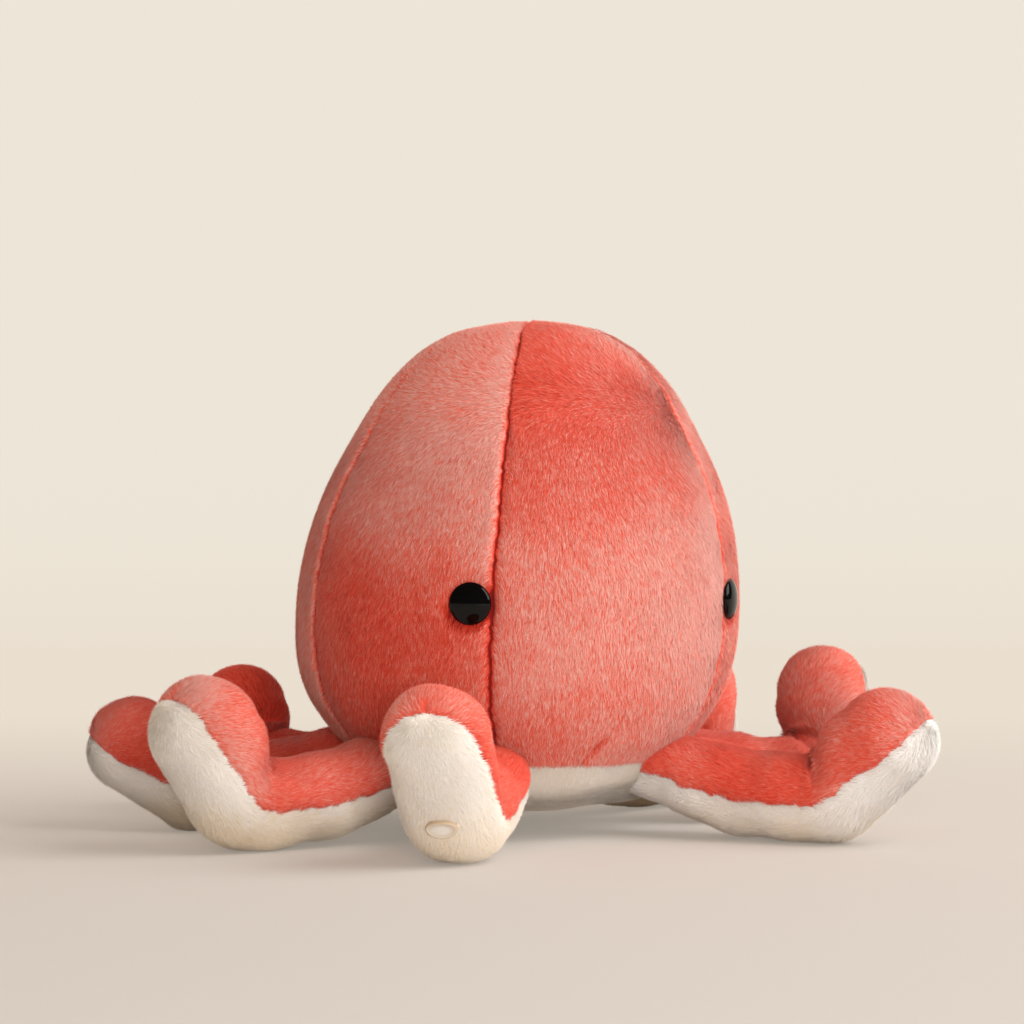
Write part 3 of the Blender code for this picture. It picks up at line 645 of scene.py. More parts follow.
# %% [markdown]
# ## Stations along an arm
# A sewn arm is round, sags where it leaves the head and turns up at a stitched crease. It could be
# bent along a curve by a modifier. Here the stations carry the arm's middle, its two directions
# and its two half widths, so that both cloths and the creases are built on the same measures.
# %% Stations along an arm
def arm_stations(i):
    """Every cross-section from the root to the pole: centre, side, up, half width, half height.
    Also the fold's share at each (0 before, 1 after) and the share along the raised end."""
    arm = arms[i]
    out_step, side_step, up_step = (s * MM for s in TIP_STEPS[i])
    elbow, end, end_side = arm["elbow"], arm["end"], arm["end_side"]
    bulb = elbow + arm["out"] * out_step + arm["side"] * side_step + UP * up_step
    along = unit(bulb - elbow)
    fold = math.acos(np.clip(along @ end, -1, 1))
    axis = unit(np.cross(end, along))
    inner = np.cross(axis, end)
    h = ARM_HEIGHT / 2
    pivot_away = h + CREASE_ROOM
    back_off = pivot_away * math.tan(fold / 2)
    rows = root_stations(arm, SAG.get(i, 0.0))
    back_off -= CREASE_OUT
    keep = (rows[:, :3] - elbow) @ end < -back_off - 1 * MM
    last = rows[-1].copy()
    last[:3] = elbow - end * back_off
    last[2] = rows[-1][2]
    rows = resample(np.vstack((rows[keep], last)), STATION_STEP)
    lines = np.gradient(rows[:, :3], axis=0)
    stations = []
    for row, line in zip(rows, lines):
        side = unit(np.cross(UP, line))
        stations.append([row[:3], side, unit(np.cross(line, side)), row[3], row[4], 0.0, 0.0])
    stations[-1][1], stations[-1][2] = end_side, UP
    # the fold
    base = stations[-1]
    pivot = base[0] + inner * pivot_away
    target_side = unit(arm["side"] - along * (arm["side"] @ along))
    turned_side = turned_about(end_side, np.zeros(3), axis, fold)
    twist = math.atan2(np.cross(turned_side, target_side) @ along, turned_side @ target_side)
    count = max(8, round(2 * h * fold / (1.3 * MM)))
    for k in range(1, count + 1):
        t = k / count
        centre = turned_about(base[0], pivot, axis, fold * t)
        line = turned_about(end, np.zeros(3), axis, fold * t)
        side = turned_about(turned_about(end_side, np.zeros(3), axis, fold * t), np.zeros(3), line, twist * t)
        stations.append([centre, side, unit(np.cross(line, side)), ARM_WIDTH / 2, h, t, 0.0])
    # the raised end and its rounded cap
    start = stations[-1][0]
    side, up = stations[-1][1], stations[-1][2]
    width, height = BULB_WIDTH * PLUMP.get(i, 1.0), BULB_HEIGHT * PLUMP.get(i, 1.0)
    length = (bulb - start) @ along
    count = max(2, round(length / STATION_STEP))
    for k in range(1, count + 1):
        t = k / count
        w = (ARM_WIDTH + (width - ARM_WIDTH) * t) / 2
        hh = (ARM_HEIGHT + (height - ARM_HEIGHT) * t) / 2
        centre = start + (bulb - start) * t
        stations.append([centre, side, up, w, hh, 1.0, t])
    stop = math.pi / 2 - CREAM_SHORT
    angles = [math.asin(math.sin(stop) * math.sin(a)) for a in np.linspace(0, math.pi / 2, CAP_ROWS)[1:]]
    angles += list(np.linspace(stop, math.pi / 2, POLE_ROWS)[1:])
    for a in angles:
        centre = bulb + along * (height / 2 * math.sin(a))
        shrink = math.cos(a)
        stations.append([centre, side, up, width / 2 * shrink, height / 2 * shrink, 1.0, 1 + a])
    return stations, dict(bulb=bulb, along=along, fold=fold)


limbs = {i: arm_stations(i) for i in arms}
print("stations:", {i: len(s) for i, (s, _) in limbs.items()},
      "folds", {i: round(math.degrees(f["fold"])) for i, (_, f) in limbs.items()})

# %% [markdown]
# ## The head panels
# The pile's tips reach the outline, so the cloth itself lies a little inside it. At a seam the
# cloth is pulled in by the thread: a narrow groove, a wide soft dip beside it, and small puckers
# along it. The pile leans away from the groove on both sides, which is why a seam in plush
# shows as a dark line with two pale edges; the dark line's shade is also painted into the colour.

# %% Head panels
PILE_ROOM = 1.2 * MM
HEAD_PILE_ROOM = 0.7 * MM
COLUMN_STEP = 1.8 * MM
EDGE_COLUMNS = (0.35 * MM, 0.8 * MM, 1.4 * MM, 2.3 * MM, 3.5 * MM)
SEAM_GAP, SEAM_NARROW = 0.6 * MM, 0.8 * MM
FAINT_SEAMS = {36.5: 0.4}
# two ends of the wrinkle: turn in degrees, radius and height in millimetres
WRINKLE = ((-6.0, 57.5, 28.0), (-2.3, 65.4, 37.0))


def seam_dip(away, deep, wide_deep, wide):
    """How far the cloth is pulled in at a distance from a seam."""
    return deep * np.exp(-((away / SEAM_NARROW) ** 2)) + wide_deep * np.exp(-((away / wide) ** 2))


def seam_columns(length):
    """Shares of a cloth's width from seam to seam, closer together beside the seams."""
    edge = np.array(EDGE_COLUMNS) / length
    count = max(4, round((length - 2 * EDGE_COLUMNS[-1]) / COLUMN_STEP))
    inner = np.linspace(edge[-1], 1 - edge[-1], count + 1)
    return np.concatenate(([0.0], edge[:-1], inner, 1 - edge[-2::-1], [1.0]))


def ragged(run, seed):
    """How far a seam strays to one side along its length: the stitches pull it about."""
    spots = np.stack((np.ravel(run), np.full(np.size(run), seed * 1.0), np.zeros(np.size(run))), axis=-1)
    stray = lumps(spots, 2.2 * MM, seed) * 0.8 + lumps(spots, 7 * MM, seed) * 0.5
    return stray.reshape(np.shape(run)) * MM


def seam_fur(points, away, strength=1.0):
    """Density, length and tone of the pile beside a seam: none on the stitches, short beside them, and
    painted shade in the groove.
    """
    gap = SEAM_GAP * (1 + 0.9 * lumps(points, 1.5 * MM, 4)) * strength
    fur = ease(gap * 0.6, gap * 1.6, away)
    reach = 0.5 + 0.5 * ease(0.3 * MM, 3.0 * MM, away)
    # painted shade in the seam's groove
    groove_shade = 3.0 + 1.5 * lumps(points, 2.4 * MM, 9)
    tone = -groove_shade * strength * np.exp(-((away / (0.62 * MM)) ** 2))
    return fur, reach, tone


print("columns of points across 60 mm of cloth:", len(seam_columns(60 * MM)))

# %% [markdown]
# ## Dips and bare places of the head
# A safety eye is clamped from inside, so the cloth sinks in round it and no pile shows under its
# rim, and the shade in the recess round it is painted into the colour. Where an arm is sewn on,
# the head's cloth is hidden. Both could be sculpted by hand. Here each point is measured from the
# eye or from the arm's stations, so that the dips follow when a size changes.
# %% Dips and bare places
def eye_dip(points):
    """The dimple that an eye presses into the cloth, where no pile grows, and a ring of painted shade in the
    recess round the eye.
    """
    dip, recess_shade = np.zeros(points.shape[:-1]), np.zeros(points.shape[:-1])
    bare = np.zeros(points.shape[:-1], bool)
    for spot, out in eyes.values():
        off = points - spot
        depth = off @ out
        away = np.linalg.norm(off - depth[..., None] * out, axis=-1)
        near = np.abs(depth) < 20 * MM
        dip += np.where(near, 1.9 * MM * np.exp(-((away / (8.8 * MM)) ** 4)), 0.0)
        over = ease(-2 * MM, 6 * MM, off[..., 2])
        bare |= near & (away < EYE_WIDTH / 2 + (0.35 - 0.8 * over) * MM)
        # painted shade in the recess round the eye
        recess_shade += np.where(near, -1.9 * np.exp(-(((away - 7.4 * MM) / (1.0 * MM)) ** 2)), 0.0)
    return dip, bare, recess_shade


def inside_arms(points, margin):
    """Which points lie inside an arm's root."""
    inside = np.zeros(points.shape[:-1], bool)
    for i, (stations, _) in limbs.items():
        for s in stations[::3]:
            if s[5] > 0:
                break
            off = points - s[0]
            line = np.cross(s[1], s[2])
            flat = (off @ s[1] / (s[3] - margin)) ** 2 + (off @ s[2] / (s[4] - margin)) ** 2
            inside |= (np.abs(off @ line) < 3.2 * MM) & (flat < 1)
    return inside


print("the cloth dips round the eyes", sorted(eyes), "and hides inside the arms", sorted(limbs))

# %% [markdown]
# ## Shade and lie of the head's pile
# Plush looks pale where its pile turns the shine to the viewer and deep where it turns it away.
# Here that shine and shade, and the light falling from the right, are painted into the colour. A
# painted picture could hold them; here they are smooth steps in height and across each panel,
# which can be changed one at a time. The front panel also has one small wrinkle, a dip with a
# painted shade line in it.
# %% Shade and lie
def head_tone(name, share, points):
    """Painted shine and shade over a panel, deeper below 0 and paler above 0: where stroked pile turns its
    shine away or to the viewer, where light falls, and in random patches.
    """
    stray = lumps(points, 34 * MM, 6)
    h = (points[..., 2] / HEAD_TOP) + 0.05 * stray
    patches = 0.28 * stray + 0.14 * lumps(points, 12 * MM, 8)
    if name == "head_front":
        # painted shine and shade: deep above, where the pile is stroked up, and pale below, where it is
        # stroked down; paler on the crown and at the right, which is turned to the light, and deeper near the
        # base
        tone = 0.70 - 0.60 * ease(0.54, 0.70, h) - 0.42 * ease(0.72, 0.88, h)
        tone = tone + (0.2 + 0.2 * ease(0.4, 0.8, share)) * ease(0.86, 0.95, h)
        tone = tone - 0.32 * (1 - ease(0.17, 0.38, h))
        tone = tone + 0.8 * ease(0.75, 1.0, share) * ease(0.30, 0.50, h)
        slope = 0.85 - 0.45 * np.exp(-(((h - 0.71) / 0.07) ** 2))
        return tone + slope * (share - 0.5) + patches * 0.5
    if name == "head_side_nx":
        # painted shade: darker low down and toward the back, away from the light, and a little lighter at the
        # very bottom
        rise = 1.05 * ease(0.40, 0.66, h + 0.12 * (share - 0.5)) + 0.4 * ease(0.75, 0.97, share)
        return -0.53 + rise - 0.1 * (share - 0.5) + 0.15 * (1 - ease(0.2, 0.36, h)) + patches
    return 0.45 + 0.2 * ease(0.5, 0.8, h) + patches


def wrinkle(points):
    """One small wrinkle in the front panel, just above the base: its depth and the painted shade of its dark
    line.
    """
    ends = [head_points((math.radians(t),), np.array([(r * MM, z * MM)]))[0, 0] for t, r, z in WRINKLE]
    way = ends[1] - ends[0]
    along = np.clip((points - ends[0]) @ way / (way @ way), 0, 1)
    away = np.linalg.norm(points - ends[0] - along[..., None] * way, axis=-1)
    share = np.sin(np.pi * (0.1 + 0.8 * along))
    dip = 2.0 * MM * share * np.exp(-((away / (1.3 * MM)) ** 2))
    # the dark line is painted shade in the crease
    return dip, -2.6 * share * np.exp(-((away / (0.9 * MM)) ** 2))


def brushed(name, share, grid, down, normal):
    """The lie of the pile: down the head, but swept round to the left over most of the crown,
    and further toward the right edge of the front panel."""
    if name in ("head_side_px", "head_back_px"):
        return down
    half_turns = 0.65 + 0.35 * share if name == "head_front" else 0.65 + 0 * share
    turn = -math.pi * half_turns[None, :] * ease(0.70, 0.94, grid[..., 2] / HEAD_TOP)
    turn = turn[..., None]
    return down * np.cos(turn) + np.cross(normal, down) * np.sin(turn)


print("the wrinkle runs from", WRINKLE[0], "to", WRINKLE[1])

# %% [markdown]
# ## One panel of the head
# A gore is cut flat and swells when it is filled, while its seams stay pulled in. A cloth
# simulation could find that form, but it would drift from the photograph's outline. Here a grid
# of points between two seams starts on the measured outline and is pushed in at its edges.
# %% One head panel
def head_panel(name, first, last, row_from, row_to):
    """One panel of the head, or the base, between two turns and two rows of the outline."""
    a, b = math.radians(first), math.radians(last)
    if row_from == seam_row:
        share = seam_columns(HEAD_WIDTH / 2 * (b - a))
    else:
        share = np.linspace(0.0, 1.0, round(HEAD_WIDTH / 2 * (b - a) / COLUMN_STEP) + 1)
    turns = a + (b - a) * share
    rz = outline[row_from:row_to + 1]
    grid = head_points(turns, rz)
    r = rz[:, 0][:, None]
    normal = grid_normals(grid)
    strength = np.where(turns - a < b - turns, FAINT_SEAMS.get(first, 1.0), FAINT_SEAMS.get(last, 1.0))
    run = np.cumsum(np.concatenate(([0.0], np.linalg.norm(np.diff(rz, axis=0), axis=1))))[:, None]
    across_seam = np.stack((np.cos(turns), np.sin(turns), 0 * turns), axis=-1)[None, :, :]
    if row_from == seam_row:
        low_away = run + 0 * r
        side_away = np.minimum(turns - a, b - turns)[None, :] * r
        crown = ease(2 * MM, 14 * MM, r)
        inset = seam_dip(side_away, 1.0 * MM, 0.5 * MM, 8 * MM) * (0.2 + 0.8 * crown) * strength
        for turn in (a, b):
            stray = ragged(run, round(math.degrees(turn)) % 360) * crown
            fade = np.exp(-((((turns - turn)[None, :] * r) / (3 * MM)) ** 2))
            grid = grid + (stray * fade)[..., None] * across_seam
    else:
        over, near = (grid - HEAD_AXIS) @ right, (grid - HEAD_AXIS) @ back
        lift = ease(10 * MM, 45 * MM, over) * ease(5 * MM, 35 * MM, near)
        lift = lift * (1 - ease(10 * MM, 25 * MM, grid[..., 2]))
        grid = grid + BASE_LIFT * lift[..., None] * UP
        low_away = run[-1] - run + 0 * r
        side_away = np.full((len(rz), len(turns)), 1.0)
        inset = np.zeros(side_away.shape)
    # the seam between head and base wanders up and down a little
    wander = ragged(turns * outline[seam_row, 0], 77)[None, :] * np.exp(-((low_away / (4 * MM)) ** 2))
    grid = grid + wander[..., None] * UP
    inset = inset + seam_dip(low_away, 1.2 * MM, 0.8 * MM, 7 * MM)
    away = np.minimum(side_away, low_away)
    pucker = lumps(grid, 7 * MM, 3) * 0.4 * MM * np.exp(-((away / (6 * MM)) ** 2))
    inset = inset + HEAD_PILE_ROOM + pucker + lumps(grid, 26 * MM, 1) * 0.4 * MM
    dip, bare, recess_shade = eye_dip(grid)
    if name == "head_front":
        fold_dip, crease_shade = wrinkle(grid)
        dip, recess_shade = dip + fold_dip, recess_shade + crease_shade
    grid = grid - normal * (inset + dip)[..., None]
    # the nap runs down the head, or outwards under it, and turns away from a seam
    down = -np.gradient(grid, axis=0) if row_from == seam_row else np.gradient(grid, axis=0)
    down[-1] = down[-2]
    across = unit(np.cross(normal, down))
    sway = lumps(grid, 14 * MM, 5)[..., None] * 0.35
    side = np.where((turns - (a + b) / 2)[None, :, None] > 0, -1.0, 1.0)
    to_mid = unit(np.gradient(grid, axis=1)) * side
    turn_off = np.exp(-((side_away / (2.2 * MM)) ** 2))[..., None]
    away_from_seam = to_mid * turn_off * (1.3 * strength)[None, :, None]
    lie = brushed(name, share, grid, unit(down), normal) if row_from == seam_row else unit(down)
    nap = unit(lie + across * sway + away_from_seam)
    fur, reach, tone = seam_fur(grid, side_away if row_from == seam_row else away, strength)
    if row_from == seam_row:
        reach = reach * (1 + (0.5 + 0.5 * lumps(grid, 4 * MM, 21)) * np.exp(-((low_away / (2.0 * MM)) ** 2)))
    fur = np.where(bare | inside_arms(grid, 1.0 * MM), 0.0, fur)
    if row_from == seam_row:
        # painted shade in the seams, round the eyes and in the wrinkle, with the panel's painted shine and
        # shade
        tone = tone + recess_shade + head_tone(name, share[None, :] + 0 * r, grid)
    else:
        tone = tone * 0.3 - 0.25
    return cloth_mesh(name, grid, nap, fur, reach, tone)


NAMES = ("head_front", "head_side_px", "head_back_px", "head_back_nx", "head_side_nx")
panels = {}
for k, name in enumerate(NAMES):
    mesh = head_panel(name, HEAD_SEAMS[k], HEAD_SEAMS[k + 1], seam_row, len(outline) - 1)
    panels[name] = grow("plush_" + name, mesh, coral, coral_ground, 10 + k)
mesh = head_panel("base", 0.0, 360.0, 0, seam_row)
panels["base_panel"] = grow("plush_base", mesh, cream, cream_ground, 20)
print("head pieces, triangles:", grown)

# %% Give the head pieces to the frame
for name, piece in panels.items():
    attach(piece, "body")
    hidden = [name] + (["head_filling"] if name == "base_panel" else [])
    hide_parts(*hidden)
print("head pieces ride on the body:", len(panels))

# %% [markdown]
# ## The arms
# Each arm has a coral cloth above and a cream cloth below, with a seam along each side. On the
# raised end the cream cloth faces outwards and the coral cloth looks back at the head. The arm
# is cut in two partway to the elbow: one piece reaches into the head, the other runs on to the raised end.

# %% Arm cloths
ARM_SEAM, TIP_SEAM = math.radians(82), math.radians(66)
TIP_SEAMS = {7: math.radians(50)}
SPLIT_SHARE = 0.45
CREASE_DEEP, INNER_FULL, OUTER_FULL = 1.5 * MM, 3.2 * MM, 1.2 * MM
# coral tone of each lying arm and raised end; the low values of arms 3 and 4 are painted shade, as those arms
# lie in shade behind the head
ARM_TONES = {1: -0.3, 2: -0.2, 3: -0.5, 4: -0.9, 5: 0.0, 6: -0.2, 7: -0.2, 8: -0.45}
TIP_TONES = {1: -0.2, 2: 0.2, 3: -0.4, 4: -0.9, 5: 0.1, 6: 0.1, 7: 0.3, 8: 0.1}
BRUSHED_BACK = (1, 2, 3, 8)
# painted shade on the cream cloth of some arms, before and after the fold; a negative value paints light
UNDER_SHADE, TIP_SHADE = {6: 1.1, 8: -0.35}, {1: 0.3, 2: 0.35, 8: -0.25}


def seam_at(share, i):
    """The seam's angle from the middle of the cream cloth, along the raised end and its cap."""
    tip = TIP_SEAMS.get(i, TIP_SEAM)
    if share <= 1:
        return ARM_SEAM + (tip - ARM_SEAM) * ease(0.0, 1.0, share)
    a = share - 1
    left = 1 - (math.sin(a) / math.cos(CREAM_SHORT)) ** 2
    if left <= 1e-9:
        return 0.0
    return math.asin(min(1.0, math.sin(tip) * math.sqrt(left) / math.cos(a)))


def fullness(a, fold, share):
    """How far the filling pushes the cloth out (or the stitched crease pulls it in) at an angle."""
    inner, outer = np.maximum(0.0, -np.cos(a)), np.maximum(0.0, np.cos(a))
    if 0 < fold < 1:
        crease = CREASE_DEEP * math.exp(-(((fold - 0.6) / 0.12) ** 2)) * inner**0.4
        push = OUTER_FULL * math.sin(math.pi * fold) * outer - crease
        return push + INNER_FULL * 0.5 * ease(0.75, 1.0, fold) * inner
    if fold == 1 and share <= 1:
        return INNER_FULL * (0.5 + 0.5 * ease(0.0, 0.35, share)) * (1 - ease(0.45, 1.0, share)) * inner
    return 0.0 * a


turns = [round(math.degrees(seam_at(share, 1))) for share in (0.0, 1.0)]
print("the seam turns from and to, in degrees:", turns)

# %% [markdown]
# ## The grid of one arm cloth
# Each arm is sewn from two strips, so a cloth runs from seam to seam across every station. It
# could be cut out of one finished tube. Here each strip has its own grid, with closer columns at
# the seams, where the cloth dips and the stitches stray.
# %% Grid of an arm cloth
def limb_grid(stations, upper, i):
    """The grid of the upper or under cloth, with its distance from the seam."""
    columns = seam_columns((math.pi if upper else 2.6) * ARM_WIDTH / 2)
    grid, away = [], []
    for k, (centre, side, up, w, h, fold, share) in enumerate(stations):
        seam = seam_at(share, i)
        low, high = (seam, math.tau - seam) if upper else (-seam, seam)
        a = low + (high - low) * columns
        from_seam = np.minimum(a - low, high - a) * (w + h) / 2
        lift = fullness(a, fold, share)
        x = w * np.sin(a)
        y = -(h + lift) * np.cos(a)
        spots = centre + np.outer(x, side) + np.outer(y, up)
        if 0.35 < seam:
            stray = 1.5 * ease(0.35, 0.9, seam) * ragged(np.array([k * STATION_STEP]), 40 + i)[0]
            fade = np.exp(-((from_seam / (3 * MM)) ** 2))
            fade = fade * np.where(columns < 0.5, 1, -1) * (1 if upper else -1)
            tangent = np.outer(w * np.cos(a), side) + np.outer(h * np.sin(a), up)
            spots = spots + unit(tangent) * (stray * fade)[:, None]
        grid.append(spots)
        away.append(from_seam)
    return np.array(grid), np.array(away)


def fold_share(stations):
    """0 on the lying arm, 1 from the middle of the elbow on."""
    return ease(0.0, 0.5, np.array([s[5] for s in stations]))[:, None]


def end_lie(i, upper, run, normal, ups, share):
    """Which way the pile lies on an arm. On the raised end it is combed over the top, so that no
    parting shows there."""
    along = limbs[i][1]["along"]
    brushed_back = i in BRUSHED_BACK
    if upper:
        lie = -run if brushed_back else run
        comb, start, stop = (ups - along) * (1 if brushed_back else -1), 0.0, 0.8
    else:
        lie = -run if brushed_back else run
        comb, start, stop = ups - 4 * along if brushed_back else ups + along, 0.6, 1.2
    comb = comb - normal * np.sum(comb * normal, axis=-1, keepdims=True)
    w = ease(start, stop, share)
    return unit(lie * (1 - w) + unit(comb) * w)


print("arm 1 starts and ends with these shares of the fold:", fold_share(limbs[1][0])[[0, -1], 0])

# %% [markdown]
# ## One arm cloth
# The stuffed cloth is smooth between its seams, with shallow folds along the lying part and short
# pile beside the seam on the coral side. On the cream side the pile is longer and falls over the
# edge. Each of these is one line that moves points or sets how the pile grows there.
# %% One arm cloth
def limb_cloth(name, stations, upper, i, rows):
    """One cloth of one half of an arm."""
    first, last = rows
    if not upper and last == len(stations) - 1:
        stations = stations[: 1 - POLE_ROWS]
        last = len(stations) - 1
    full, away = limb_grid(stations, upper, i)
    normal = grid_normals(full)
    if np.mean(np.sum(normal[3] * (full[3] - stations[3][0]), axis=-1)) < 0:
        normal = -normal
    thick = np.array([min(s[3], s[4]) for s in stations])[:, None]
    inset = seam_dip(away, 1.0 * MM, 0.5 * MM, 5 * MM)
    pucker = lumps(full, 6 * MM, 7 + i) * 0.5 * MM * np.exp(-((away / (6 * MM)) ** 2))
    inset = inset + PILE_ROOM + pucker + lumps(full, 15 * MM, 9 + i) * 0.9 * MM
    place = np.arange(len(stations))[:, None] * STATION_STEP
    across_fold = np.sin(place / (4.2 * MM) + 2.5 * lumps(full, 30 * MM, 17 + i))
    soft = 0.35 * MM * across_fold * ease(3 * MM, 12 * MM, away) * (1 - fold_share(stations))
    inset = np.minimum(inset + soft, thick * 0.8)
    grid = full - normal * inset[..., None]
    grid[..., 2] = np.maximum(grid[..., 2], 0.5 * MM)
    if upper and last == len(stations) - 1:
        grid[-1] = stations[-1][0] - PILE_ROOM * limbs[i][1]["along"]
    run = np.gradient(full, axis=0)
    run[-1] = run[-2]
    across = unit(np.cross(normal, run))
    sway = lumps(full, 12 * MM, 11 + i)[..., None] * 0.5
    half = full.shape[1] / 2
    side = np.where(np.arange(full.shape[1])[None, :, None] > half, -1.0, 1.0)
    to_mid = unit(np.gradient(full, axis=1)) * side
    turn_off = np.exp(-((away / (2.2 * MM)) ** 2))[..., None]
    fur = np.where(inside_head(full, 2.0 * MM), 0.0, 1.0)
    fold = np.array([s[5] for s in stations])[:, None]
    run = unit(run)
    share = np.array([s[6] for s in stations])[:, None, None]
    lie = end_lie(i, upper, run, normal, np.array([s[2] for s in stations])[:, None, :], share)
    if upper:
        # short pile beside the seam, leaning away from it
        nap = unit(lie + across * sway + to_mid * turn_off * 0.5)
        fur = fur * ease(0.0, 1.2 * MM, away)
        reach = 0.6 + 0.4 * ease(0.2 * MM, 2.5 * MM, away)
        tone = ARM_TONES[i] + (TIP_TONES[i] - ARM_TONES[i]) * ease(0.4, 0.9, fold)
        cap = ease(1.0, 2.2, np.array([s[6] for s in stations]))[:, None]
        tone = tone + lumps(full, 22 * MM, 13 + i) * 0.6
        # painted shade in the groove beside the seam, and painted shine on the cap of the raised end
        tone = tone - 0.9 * np.exp(-((away / (0.8 * MM)) ** 2)) + 0.35 * cap
    else:
        # long pile beside the seam, which falls over the edge of the upper cloth in locks
        at_end = last == len(stations) - 1
        from_top = np.linalg.norm(full - full[-1, 0], axis=-1) if at_end else 1.0 + 0 * away
        lock = (0.5 + 0.9 * lumps(full, 4.5 * MM, 15 + i)) * ease(4 * MM, 9 * MM, from_top)
        nap = unit(lie * (1 - 0.6 * turn_off) + across * sway - to_mid * turn_off * 1.5)
        reach = 1.0 + turn_off[..., 0] * lock * 0.6
        fur = fur * ease(0.5 * MM, 3.0 * MM, from_top)
        ups = np.array([s[2] for s in stations])[:, None, :]
        fringe = 1 - ease(1 * MM, 3.5 * MM, from_top)
        reach = reach * (0.45 + 0.55 * ease(1 * MM, 6 * MM, from_top))
        nap = unit(nap + (ups + limbs[i][1]["along"]) * (1.2 * fringe)[..., None])
        tone = lumps(full, 22 * MM, 13 + i) * 0.35
        # painted shade: darker and warmer toward the floor, with the floor's warm bounce painted in, and more
        # painted shade or light on some arms
        tone = tone + 0.2 - 1.0 * (1 - ease(1 * MM, 24 * MM, full[..., 2]))
        tone = tone - UNDER_SHADE.get(i, 0.0) * (1 - fold) - TIP_SHADE.get(i, 0.0) * fold
    cut = slice(first, last + 1)
    return cloth_mesh(name, grid[cut], nap[cut], fur[cut], reach[cut], tone[cut])


def inside_head(points, margin):
    """Which points lie inside the head or the base."""
    z = points[..., 2]
    off = points - HEAD_AXIS
    r = np.hypot(off[..., 0], off[..., 1] + lean(z))
    heights = outline[:, 1]
    reach = np.interp(z, heights[np.argsort(heights)], outline[np.argsort(heights), 0])
    return (r < reach - margin) & (z > heights.min())


blades_made = {}
for i in range(1, 9):
    stations, facts = limbs[i]
    lift, elbow = arms[i]["lift"], arms[i]["elbow"]
    reach = (elbow - lift) @ arms[i]["out"]
    goes = [(s[0] - lift) @ arms[i]["out"] for s in stations]
    split = next(k for k, g in enumerate(goes) if g > reach * SPLIT_SHARE)
    start = next(k for k, g in enumerate(goes) if g > -22 * MM)
    halves = {"arm": (start, split), "tip": (split, len(stations) - 1)}
    for half, rows in halves.items():
        for kind, upper in (("upper", True), ("under", False)):
            node = f"{half}{i}_{kind}"
            mesh = limb_cloth(node, stations, upper, i, rows)
            pair = (coral_arm, coral_ground) if upper else (cream, cream_ground)
            piece = grow("plush_" + node, mesh, *pair, 100 + 10 * i + upper + 2 * (half == "tip"))
            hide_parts(node, *([f"{half}{i}_filling"] if upper else []))
            if half == "arm":
                a, b = lift - arms[i]["out"] * 12 * MM, lift + arms[i]["out"] * 12 * MM
                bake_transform(piece)
            else:
                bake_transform(piece)
            blades_made[node] = grown["plush_" + node]
print("arm pieces:", len(blades_made), "triangles:", sum(blades_made.values()))

# %% [markdown]
# ## The eyes
# A safety eye is a glossy moulded dome with a flat back, on a shank that goes through the cloth
# into a washer. The dome is a turned shape: a profile spun round an axis.

# %% Eyes
def turned_piece(name, profile, spot, out, sides):
    """A closed body spun from (radius, height) pairs whose first and last lie on the axis."""
    side = unit(np.cross(UP, out))
    top = np.cross(out, side)
    turns = np.linspace(0, math.tau, sides, endpoint=False)
    points = [spot + out * profile[0][1]]
    for r, h in profile[1:-1]:
        points += [spot + out * h + r * (side * math.cos(t) + top * math.sin(t)) for t in turns]
    points.append(spot + out * profile[-1][1])
    faces = [(0, 1 + (j + 1) % sides, 1 + j) for j in range(sides)]
    for k in range(len(profile) - 3):
        for j in range(sides):
            a, b = 1 + k * sides + j, 1 + k * sides + (j + 1) % sides
            faces.append((a, b, b + sides, a + sides))
    low = 1 + (len(profile) - 3) * sides
    faces += [(low + j, low + (j + 1) % sides, len(points) - 1) for j in range(sides)]
    mesh = bpy.data.meshes.new(name)
    mesh.from_pydata([tuple(p) for p in points], [], faces)
    mesh.shade_smooth()
    return new_object(name, mesh)


def gloss_black():
    """Black plastic with a hard gloss that is very slightly uneven."""
    mat, tree, shader = new_material("eye_black")
    fine = noise_node(tree, 900.0, 2.0)
    colour = mix_colour(tree, (0.0015, 0.0015, 0.0015, 1), (0.003, 0.0025, 0.0025, 1), fine)
    tree.links.new(colour, shader.inputs["Base Color"])
    tree.links.new(math_node(tree, "MULTIPLY_ADD", fine, 0.05, 0.04), shader.inputs["Roughness"])
    shader.inputs["IOR"].default_value = 1.5
    shader.inputs["Specular IOR Level"].default_value = 0.22
    return mat


eye_gloss = gloss_black()
BACK = 0.3 * MM
SHANK_WIDE, SHANK_LONG = 1.7 * MM, 8.2 * MM
profile = [(0.0, -SHANK_LONG), (SHANK_WIDE, -SHANK_LONG), (SHANK_WIDE, BACK), (6.5 * MM, BACK)]
profile.append((6.85 * MM, BACK + 0.15 * MM))
for a in np.linspace(0, math.pi / 2, 14)[:-1]:
    profile.append((EYE_WIDTH / 2 * math.cos(a), BACK + 0.6 * MM + (EYE_DOME - 0.6 * MM) * math.sin(a)))
profile.append((0.0, BACK + EYE_DOME))
for label, (spot, out) in eyes.items():
    eye = turned_piece("eye_dome_" + label, profile, spot, out, 64)
    eye.data.materials.append(eye_gloss)
    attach(eye, "body")
    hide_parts("eye_" + label)
print("eyes:", sorted(eyes))

